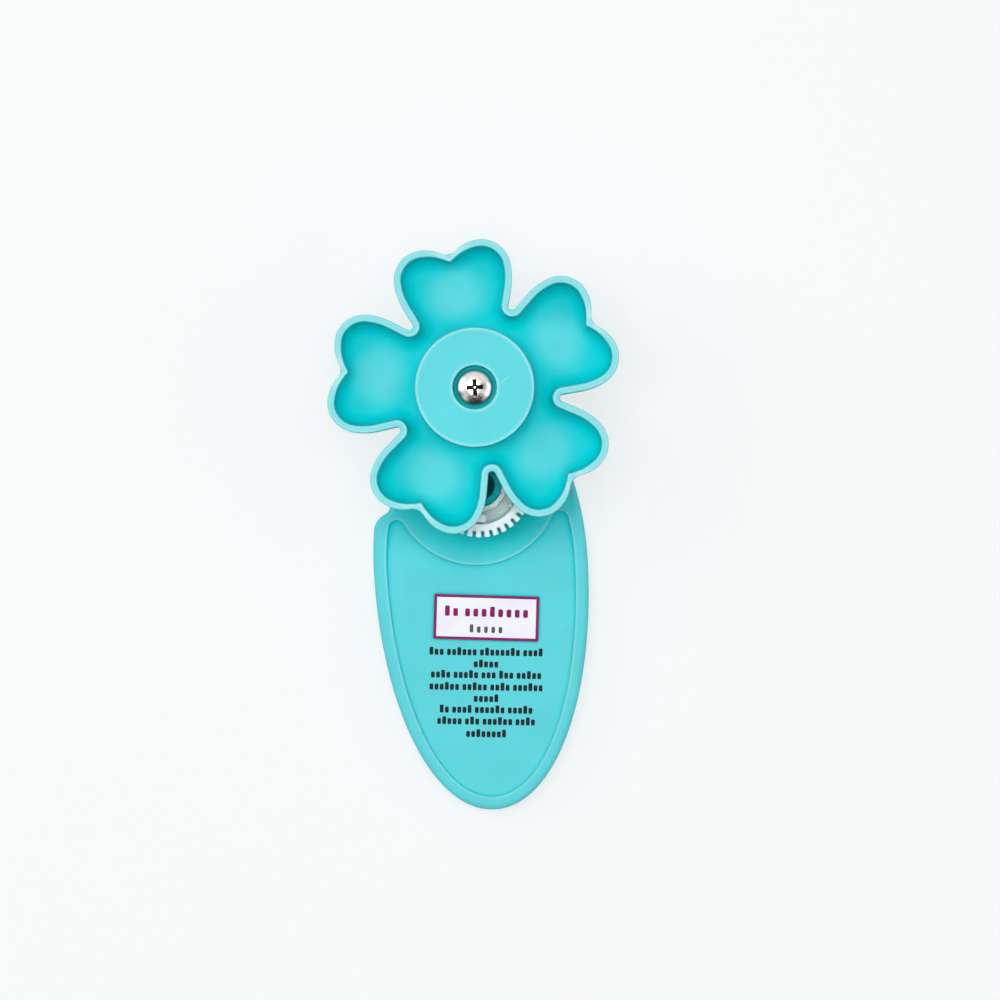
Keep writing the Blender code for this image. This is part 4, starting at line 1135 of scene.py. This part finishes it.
def floor_finish(name):
    """A matt sheet of pale paper that looks near white and keeps a faint shadow."""
    tree, shader, place = new_finish(name, Specular_IOR_Level=0.1)
    paper = bpy.context.scene.crimper_colours.floor
    shade = [channel * 0.985 for channel in paper]
    colour = mixed(tree, noise(tree, place, 60 * MM), paper, shade)
    grained(tree, shader, place, colour, grain=0.5 * MM, depth=0.01 * MM, patches=20 * MM,
            gloss=(0.8, 0.9))
    glow = put(tree, "Emission", Color=FLOOR_GLOW, Strength=1.0)
    blended(tree, product(tree, seen_rays(tree), 0.68), shader, glow, tree.nodes["Material Output"])


# Operators, one for each piece or group of like pieces

class CRIMPER_OT_base_shell(bpy.types.Operator):
    """Add the base's top moulding: border, sunk panel, deck, post, bosses and housing"""
    bl_idname = "crimper.base_shell"
    bl_label = "Base shell"

    def execute(self, context):
        sizes = context.scene.crimper_sizes
        outline = leaf_outline()
        shell = prism("base_shell_fine", outline, 0.0, BASE_HEIGHT, top=sizes.base_round,
                      bottom=FOOT_ROUND)
        cut(shell, prism("hollow", offset_outline(outline, SIDE_WALL), -CUT_OVER, CEILING))
        lip = sizes.lip_round
        panel = prism("panel", offset_outline(panel_outline(), -lip), BASE_HEIGHT + SKIM,
                      BASE_HEIGHT + CUT_OVER)
        cut(shell, shape_end(panel, -1, recess_steps(PANEL_DEPTH + SKIM, lip, lip)))
        places = screw_places()
        bosses = each(places, rod, "boss", BOSS_RADIUS, BOSS_FOOT, CEILING + FUSE_IN, SMALL_SIDES)
        housing = rod("housing", KNOB, BUSH_HOLE + HOUSING_WALL, BUSH_BOTTOM, CEILING + FUSE_IN)
        post = rod("post", IDLER, POST_RADIUS, BASE_HEIGHT - FUSE_IN, POST_TOP, top=POST_ROUND)
        fuse(shell, joined([bosses, housing, post]))
        cut(shell, round_sink("post_hole", IDLER, POST_HOLE_RADIUS, POST_TOP,
                              POST_TOP - CEILING - POST_FLOOR, POST_HOLE_LIP, POST_HOLE_COVE))
        cut(shell, rod("bush_hole", KNOB, BUSH_HOLE, BUSH_BOTTOM - CUT_OVER,
                       BASE_HEIGHT + CUT_OVER))
        cut(shell, each(places, rod, "pilot", PILOT_RADIUS, BOSS_FOOT - CUT_OVER, CEILING,
                        SMALL_SIDES))
        teal = finish_named("teal_plastic_finish", teal_finish)
        settle(shell, "base", teal, ["base_shell"])
        return {"FINISHED"}


class CRIMPER_OT_base_cover(bpy.types.Operator):
    """Add the flat bottom cover with its counterbores and moulding marks"""
    bl_idname = "crimper.base_cover"
    bl_label = "Base cover"

    def execute(self, context):
        outline = offset_outline(leaf_outline(), SIDE_WALL + RUN_GAP)
        cover = prism("base_cover_fine", outline, 0.0, COVER_THICKNESS, bottom=FOOT_ROUND)
        places = screw_places()
        cut(cover, each(places, round_sink, "counterbore", COUNTERBORE_RADIUS, 0.0,
                        COUNTERBORE_DEPTH, COUNTERBORE_LIP, COUNTERBORE_COVE, 1, SMALL_SIDES))
        cut(cover, each(places, rod, "cover_hole", PILOT_RADIUS, COUNTERBORE_DEPTH / 2,
                        COVER_THICKNESS + CUT_OVER, SMALL_SIDES))
        marks = [(LEAF_AXIS_X + aside, y) for aside in (-COVER_MARK_ASIDE, COVER_MARK_ASIDE)
                 for y in COVER_MARK_ROWS] + [(0.0, y) for y in NECK_MARK_ROWS]
        cut(cover, each(marks, round_sink, "mould_mark", COVER_MARK_RADIUS, 0.0, COVER_MARK_DEPTH,
                        COVER_MARK_EDGE, COVER_MARK_EDGE, 1, SMALL_SIDES))
        teal = finish_named("teal_plastic_finish", teal_finish)
        settle(cover, "base", teal, ["base_cover"])
        return {"FINISHED"}


class CRIMPER_OT_cover_screws(bpy.types.Operator):
    """Add the five cover screws: one is modelled and copied to the other places"""
    bl_idname = "crimper.cover_screws"
    bl_label = "Cover screws"

    def execute(self, context):
        places = screw_places()
        first = places[0]
        screw = rod("cover_screw_fine_1", first, SCREW_HEAD_RADIUS, SCREW_HEAD_SINK, SCREW_HEAD_TOP,
                    SMALL_SIDES, bottom=FOOT_ROUND)
        shank = SCREW_TOP - SCREW_HEAD_TOP - SCREW_RADIUS
        shape_end(screw, 1, [(SCREW_HEAD_RADIUS - SCREW_RADIUS, 0.0), (0.0, shank),
                             (SCREW_RADIUS / 2, SCREW_RADIUS)])
        outline = moved(cross_outline(SCREW_HEAD_RADIUS, CROSS_SLOT, CROSS_TAPER), first)
        tool = prism("cross", outline, -CUT_OVER, SCREW_HEAD_SINK + CROSS_DEPTH, corner=CROSS_ROUND)
        cut(screw, shape_end(tool, 1, CROSS_FLOOR))
        copies = [screw]
        for place in places[1:]:
            alone(screw)
            bpy.ops.object.duplicate()
            copies.append(bpy.context.object)
            bpy.ops.transform.translate(value=(place[0] - first[0], place[1] - first[1], 0.0))
            apply_move()
        for i, (copy, place) in enumerate(zip(copies, places), start=1):
            copy.name = f"cover_screw_fine_{i}"
            steel = finish_named(f"plated_steel_finish_{i}", steel_finish, place)
            settle(copy, "base", steel, [f"cover_screw_{i}"])
        return {"FINISHED"}


class CRIMPER_OT_label(bpy.types.Operator):
    """Add the label, a thin coated sheet with rounded corners, and its rows of plain marks"""
    bl_idname = "crimper.label"
    bl_label = "Label"

    def execute(self, context):
        sizes, colours = context.scene.crimper_sizes, context.scene.crimper_colours
        half_x, half_y = LABEL_WIDTH / 2, LABEL_HEIGHT / 2
        corners = [(-half_x, -half_y), (half_x, -half_y), (half_x, half_y), (-half_x, half_y)]
        low, high = PANEL_LEVEL + LABEL_GAP, PANEL_LEVEL + LABEL_GAP + LABEL_THICKNESS
        label = prism("label_fine", moved(rotated(corners, LABEL_TURN), LABEL_MIDDLE), low, high,
                      corner=sizes.label_corner, top=LABEL_ROUND)
        paper = finish_named("label_paper_finish", label_finish)
        settle(label, "base", paper, ["label"])
        # name, marks in each group, their width, height and gap, how high the row sits, its ink
        rows = [("label_marks_large", (2, 8), 1.15 * MM, 1.9 * MM, 0.85 * MM, 1.17 * MM,
                 (colours.label_edge, MARK_SHADE)),
                ("label_marks_small", (5,), 0.85 * MM, 1.5 * MM, 0.9 * MM, -2.9 * MM,
                 (SMALL_MARK, SMALL_MARK_SHADE))]
        for name, groups, width, height, gap, rise, ink in rows:
            loops = mark_row(groups, width, height, gap, 0, rise, LABEL_TURN, LABEL_MIDDLE)
            marks = drawn(name, loops, high, INK_THICKNESS)
            settle(marks, "base", finish_named(name + "_ink", ink_finish, *ink))
        return {"FINISHED"}


def mark_row(groups, width, height, gap, row, rise, turn, middle):
    """One row of plain upright marks with round corners, above a middle and turned about it."""
    space = GROUP_GAP * gap + GROUP_WIDTH * width
    reach = sum(groups) * (width + gap) - gap * len(groups) + space * (len(groups) - 1)
    x, count, loops = -reach / 2, 0, []
    for group in groups:
        for _ in range(group):
            tall = (count * 7 + row * 3) % 5 == 0       # one in five, here and there
            top = height * ((TALL_MARK if tall else 1.0) - 0.5)
            block = round_block(x, x + width, rise - height / 2, rise + top,
                                MARK_CORNER_SHARE * width, MARK_STEPS)
            loops.append(moved(rotated(block, turn), middle))
            x += width + gap
            count += 1
        x += space - gap
    return loops


class CRIMPER_OT_handle_print(bpy.types.Operator):
    """Add the rows of plain printed marks on the handle's panel"""
    bl_idname = "crimper.handle_print"
    bl_label = "Handle print"

    def execute(self, context):
        sizes, colours = context.scene.crimper_sizes, context.scene.crimper_colours
        loops = []
        for row, (down, groups) in enumerate(PRINT_ROWS):
            middle = tuple(start + way * down * MM for start, way in zip(PRINT_START, PRINT_WAY))
            loops += mark_row(groups, sizes.mark_width, sizes.mark_height, MARK_GAP, row, 0.0,
                              PRINT_TURN, middle)
        marks = drawn("handle_print", loops, PANEL_LEVEL, INK_THICKNESS)
        settle(marks, "base", finish_named("handle_ink", ink_finish, colours.ink, INK_SHADE))
        return {"FINISHED"}


class CRIMPER_OT_gears(bpy.types.Operator):
    """Add both levels of both gears, with rounded teeth, sunk webs, collars and lugs"""
    bl_idname = "crimper.gears"
    bl_label = "Gears"

    def execute(self, context):
        half_pitch = math.pi / TEETH
        hexagon = circle(HEX_BORE_CORNER, 6)
        idler_phase, drive_phase = math.pi / 2 + MESH_PHASE + half_pitch, -math.pi / 2 - MESH_PHASE
        add_lower_gear("idler", IDLER, idler_phase, circle(IDLER_BORE, ROUND_SIDES))
        add_lower_gear("drive", KNOB, drive_phase, hexagon)
        add_upper_gear("idler", IDLER, slotted_outline(idler_phase), 0.0,
                       circle(POST_RADIUS + COLLAR_FIT, ROUND_SIDES), COLLAR_RADIUS)
        thin_teeth = gear_outline(DEEP_ADDENDUM, drive_phase, DRIVE_TIP_SHARE, DRIVE_ROOT_SHARE)
        add_upper_gear("drive", KNOB, thin_teeth, context.scene.crimper_sizes.deep_tooth_round,
                       hexagon, HEX_BORE_CORNER + COLLAR_RING + RUN_GAP)
        return {"FINISHED"}


def add_lower_gear(prefix, place, phase, bore):
    """A plain gear with shallow teeth."""
    sizes = bpy.context.scene.crimper_sizes
    outline = moved(gear_outline(SHALLOW_ADDENDUM, phase), place)
    gear = prism(f"lower_{prefix}_gear_fine", outline, LOWER_BOTTOM, LOWER_TOP,
                 corner=sizes.shallow_tooth_round, top=sizes.face_round, bottom=sizes.face_round)
    cut(gear, prism("bore", moved(bore, place), LOWER_BOTTOM - CUT_OVER, LOWER_TOP + CUT_OVER))
    white = finish_named("white_plastic_finish", white_finish)
    settle(gear, prefix, white, [f"lower_{prefix}_gear"])


def add_upper_gear(prefix, place, outline, corner, bore, collar):
    """A gear with deep teeth, a sunk web, a collar round its bore and lugs."""
    sizes = bpy.context.scene.crimper_sizes
    small = sizes.face_round
    gear = prism(f"upper_{prefix}_gear_fine", moved(outline, place), UPPER_BOTTOM, UPPER_TOP,
                 corner=corner, top=small, bottom=small)
    cut(gear, round_sink("web", place, RIM_RADIUS, UPPER_TOP, WEB_DEPTH, WEB_LIP, WEB_COVE))
    foot = WEB_LEVEL - FUSE_IN
    fuse(gear, prism("collar", moved(wavy_circle(collar, sizes.collar_wave), place), foot,
                     UPPER_TOP - COLLAR_DROP, top=small))
    block = round_block(*LUG_REACH, -LUG_WIDTH / 2, LUG_WIDTH / 2, LUG_CORNER, BEND_STEPS)
    turns = [LUG_ANGLE + 2 * math.pi * i / LUG_COUNT for i in range(LUG_COUNT)]
    fuse(gear, joined([prism("lug", moved(rotated(block, turn), place), foot, UPPER_TOP - LUG_DROP,
                             top=2 * small) for turn in turns]))
    if prefix == "idler":
        fuse(gear, rod("dot", polar(place, *PIN_MARK), PIN_MARK_RADIUS, foot,
                       WEB_LEVEL + PIN_MARK_HEIGHT, DOT_SIDES, top=PIN_MARK_ROUND))
    cut(gear, prism("bore", moved(bore, place), UPPER_BOTTOM - CUT_OVER, UPPER_TOP + CUT_OVER))
    white = finish_named(f"{prefix}_gear_finish", white_finish, place)
    settle(gear, prefix, white, [f"upper_{prefix}_gear"])


class CRIMPER_OT_flower_knob(bpy.types.Operator):
    """Add the flower knob: five cups, a raised hub, the screw's recess and the shaft's socket"""
    bl_idname = "crimper.flower_knob"
    bl_label = "Flower knob"

    def execute(self, context):
        sizes = context.scene.crimper_sizes
        rim = sizes.rim_round
        knob = prism("flower_knob_fine", flower_outline(), KNOB_BOTTOM, RIM_TOP, top=rim,
                     bottom=KNOB_FOOT_ROUND)
        cups = prism("cups", flower_outline(KNOB_WALL - rim, CUP_TIP_FILLET, CUP_BROW_EXTRA),
                     RIM_TOP + SKIM, RIM_TOP + CUT_OVER)
        upright = RIM_TOP + SKIM - FLOOR_LEVEL - rim - CUP_FILLET
        cut(knob, shape_end(cups, -1, bend(rim, False) + [(0.0, upright)]
                            + bend(CUP_FILLET, True, CUP_STEPS)))
        skirt = sizes.hub_skirt
        hub = rod("hub", KNOB, HUB_RADIUS + skirt, FLOOR_LEVEL - FUSE_IN, FLOOR_LEVEL - SKIM,
                  HUB_SIDES)
        upright = HUB_TOP - FLOOR_LEVEL + SKIM - skirt - sizes.hub_round
        fuse(knob, shape_end(hub, 1, bend(skirt, False) + [(0.0, upright)]
                             + bend(sizes.hub_round, True)))
        core_top = HUB_TOP - HUB_WALL
        cut(knob, rod("core", KNOB, HUB_RADIUS - HUB_WALL, KNOB_BOTTOM - CUT_OVER, core_top))
        fuse(knob, rod("socket", KNOB, SOCKET_RADIUS, SOCKET_BOTTOM, core_top + FUSE_IN,
                       bottom=SOCKET_ROUND))
        hexagon = moved(circle(HEX_BORE_CORNER, 6), KNOB)
        cut(knob, prism("socket_flats", hexagon, SOCKET_BOTTOM - CUT_OVER, SOCKET_TOP))
        cut(knob, round_sink("recess", KNOB, RECESS_RADIUS, HUB_TOP, HUB_TOP - RECESS_FLOOR,
                             sizes.hub_round, RECESS_COVE))
        cut(knob, rod("screw_hole", KNOB, KNOB_SCREW_RADIUS + RUN_GAP, SOCKET_TOP - CUT_OVER,
                      RECESS_FLOOR + CUT_OVER, SMALL_SIDES))
        teal = finish_named("knob_plastic_finish", teal_finish, True)
        settle(knob, "drive", teal, ["flower_knob"])
        return {"FINISHED"}


class CRIMPER_OT_knob_screw(bpy.types.Operator):
    """Add the domed cross-head screw that holds the knob, and its washer"""
    bl_idname = "crimper.knob_screw"
    bl_label = "Knob screw"

    def execute(self, context):
        rise = KNOB_HEAD_HEIGHT - KNOB_HEAD_BRIM
        ball = (KNOB_HEAD_RADIUS ** 2 + rise ** 2) / (2 * rise)
        edge = math.asin(KNOB_HEAD_RADIUS / ball)
        turns = [edge * (1 - DOME_SHARE * i / DOME_STEPS) for i in range(DOME_STEPS + 1)]
        dome = [(ball * (math.sin(low) - math.sin(high)), ball * (math.cos(high) - math.cos(low)))
                for low, high in zip(turns, turns[1:])]
        screw = rod("knob_screw_fine", KNOB, KNOB_HEAD_RADIUS, KNOB_HEAD_BOTTOM,
                    KNOB_HEAD_BOTTOM + KNOB_HEAD_BRIM, bottom=KNOB_HEAD_ROUND)
        shape_end(screw, 1, dome)
        shank = KNOB_SCREW_LENGTH - KNOB_SCREW_RADIUS / 2
        shape_end(screw, -1, [(KNOB_HEAD_RADIUS - KNOB_HEAD_ROUND - KNOB_SCREW_RADIUS, 0.0),
                              (0.0, shank), (KNOB_SCREW_RADIUS / 2, KNOB_SCREW_RADIUS / 2)])
        outline = moved(cross_outline(KNOB_HEAD_RADIUS, KNOB_CROSS_SLOT, KNOB_CROSS_TAPER), KNOB)
        tool = prism("cross", outline, KNOB_HEAD_TOP - KNOB_CROSS_DEPTH, KNOB_HEAD_TOP + CUT_OVER,
                     corner=KNOB_CROSS_ROUND)
        cut(screw, shape_end(tool, -1, KNOB_CROSS_FLOOR))
        steel = finish_named("knob_screw_finish", steel_finish, KNOB, True)
        settle(screw, "drive", steel, ["knob_screw"])
        washer = rod("knob_washer_fine", KNOB, KNOB_HEAD_RADIUS + KNOB_WASHER_SHOWS,
                     KNOB_WASHER_BOTTOM, KNOB_WASHER_TOP, top=KNOB_WASHER_ROUND,
                     bottom=KNOB_WASHER_ROUND)
        cut(washer, rod("washer_bore", KNOB, KNOB_SCREW_RADIUS + RUN_GAP,
                        KNOB_WASHER_BOTTOM - CUT_OVER, KNOB_WASHER_TOP + CUT_OVER, SMALL_SIDES))
        settle(washer, "drive", steel, ["knob_washer"])
        return {"FINISHED"}


class CRIMPER_OT_inner_parts(bpy.types.Operator):
    """Finish the solids that stay as they are: shaft, bush, spacers and thrust washer"""
    bl_idname = "crimper.inner_parts"
    bl_label = "Inner parts"

    def execute(self, context):
        steel = finish_named("plated_steel_finish", steel_finish, KNOB)
        white = finish_named("white_plastic_finish", white_finish)
        for node, finish in (("drive_shaft", steel), ("drive_bush", white), ("drive_spacer", white),
                             ("idler_spacer", white), ("idler_washer", white)):
            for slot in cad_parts[node].material_slots:
                slot.material = finish
        return {"FINISHED"}


class CRIMPER_OT_stage(bpy.types.Operator):
    """Set the floor, the lamps, the world's light and the camera"""
    bl_idname = "crimper.stage"
    bl_label = "Stage"

    def execute(self, context):
        alone()
        bpy.ops.mesh.primitive_plane_add(size=FLOOR_SIZE, location=(0.0, 0.0, 0.0))
        floor = context.object
        floor.name = "floor"
        bpy.ops.transform.translate(value=(0.0, 0.0, -FLOOR_DROP))
        floor.data.materials.append(finish_named("floor_paper_finish", floor_finish))
        for name, place, width, power in LAMPS:
            bpy.ops.object.light_add(type="AREA", location=place)
            lamp = context.object
            lamp.name = name
            lamp.data.size = width
            lamp.data.energy = power
            lamp.rotation_euler = (-Vector(place)).to_track_quat("-Z", "Y").to_euler()
        set_world()
        bpy.ops.object.camera_add(location=CAMERA_PLACE, rotation=(0.0, 0.0, CAMERA_TURN))
        camera = context.object
        camera.name = "camera"
        camera.data.lens = CAMERA_LENS
        camera.data.sensor_width = CAMERA_SENSOR
        camera.data.clip_end = CAMERA_REACH
        context.scene.camera = camera
        context.scene.view_settings.view_transform = "Standard"
        return {"FINISHED"}


def set_world():
    """Pale surroundings, brighter behind the knob than at the handle's end."""
    world = bpy.context.scene.world or bpy.data.worlds.new("surroundings")
    bpy.context.scene.world = world
    world.use_nodes = True
    tree = world.node_tree
    tree.nodes.clear()
    sky = put(tree, "TexCoord").outputs["Generated"]
    way = axes(tree, sky)
    light = put(tree, "Background", Color=WORLD_LIGHT,
                Strength=ranged(tree, way["Y"], -0.7, 0.7, 0.20, 0.38))
    narrow = ranged(tree, worked(tree, "ABSOLUTE", way["X"]), 0.22, 0.44, 1.0, 0.0)
    front = product(tree, ranged(tree, way["Y"], -0.21, -0.34), narrow)
    patchy = ranged(tree, noise(tree, sky, 0.35, detail=1.0), 0.52, 0.62, 0.0, 0.75)
    dark = product(tree, larger(tree, front, patchy), ranged(tree, way["Z"], 0.5, 0.6))
    seen = put(tree, "Background", Color=mixed(tree, dark, WORLD_SEEN, WORLD_DARK), Strength=1.0)
    blended(tree, seen_rays(tree), light, seen, put(tree, "OutputWorld"))


OPERATORS = (
    CRIMPER_OT_base_shell, CRIMPER_OT_base_cover, CRIMPER_OT_cover_screws, CRIMPER_OT_label,
    CRIMPER_OT_handle_print, CRIMPER_OT_gears, CRIMPER_OT_flower_knob, CRIMPER_OT_knob_screw,
    CRIMPER_OT_inner_parts, CRIMPER_OT_stage)


class CRIMPER_PT_panel(bpy.types.Panel):
    """Sizes, colours and pieces of the crimper"""
    bl_idname = "CRIMPER_PT_panel"
    bl_label = "Paper Crimper"
    bl_space_type = "VIEW_3D"
    bl_region_type = "UI"
    bl_category = "Crimper"

    def draw(self, context):
        for group in (context.scene.crimper_sizes, context.scene.crimper_colours):
            box = self.layout.box()
            for name in group.__annotations__:
                box.prop(group, name)
        for operator in OPERATORS:
            self.layout.operator(operator.bl_idname)


CLASSES = (CrimperSizes, CrimperColours, *OPERATORS, CRIMPER_PT_panel)


def register():
    for item in CLASSES:
        bpy.utils.register_class(item)
    bpy.types.Scene.crimper_sizes = bpy.props.PointerProperty(type=CrimperSizes)
    bpy.types.Scene.crimper_colours = bpy.props.PointerProperty(type=CrimperColours)


def unregister():
    del bpy.types.Scene.crimper_colours
    del bpy.types.Scene.crimper_sizes
    for item in reversed(CLASSES):
        bpy.utils.unregister_class(item)


def main():
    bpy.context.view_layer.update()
    register()
    bpy.ops.crimper.base_shell()
    bpy.ops.crimper.base_cover()
    bpy.ops.crimper.cover_screws()
    bpy.ops.crimper.label()
    bpy.ops.crimper.handle_print()
    bpy.ops.crimper.gears()
    bpy.ops.crimper.flower_knob()
    bpy.ops.crimper.knob_screw()
    bpy.ops.crimper.inner_parts()
    bpy.ops.crimper.stage()


if __name__ == "__main__":
    main()
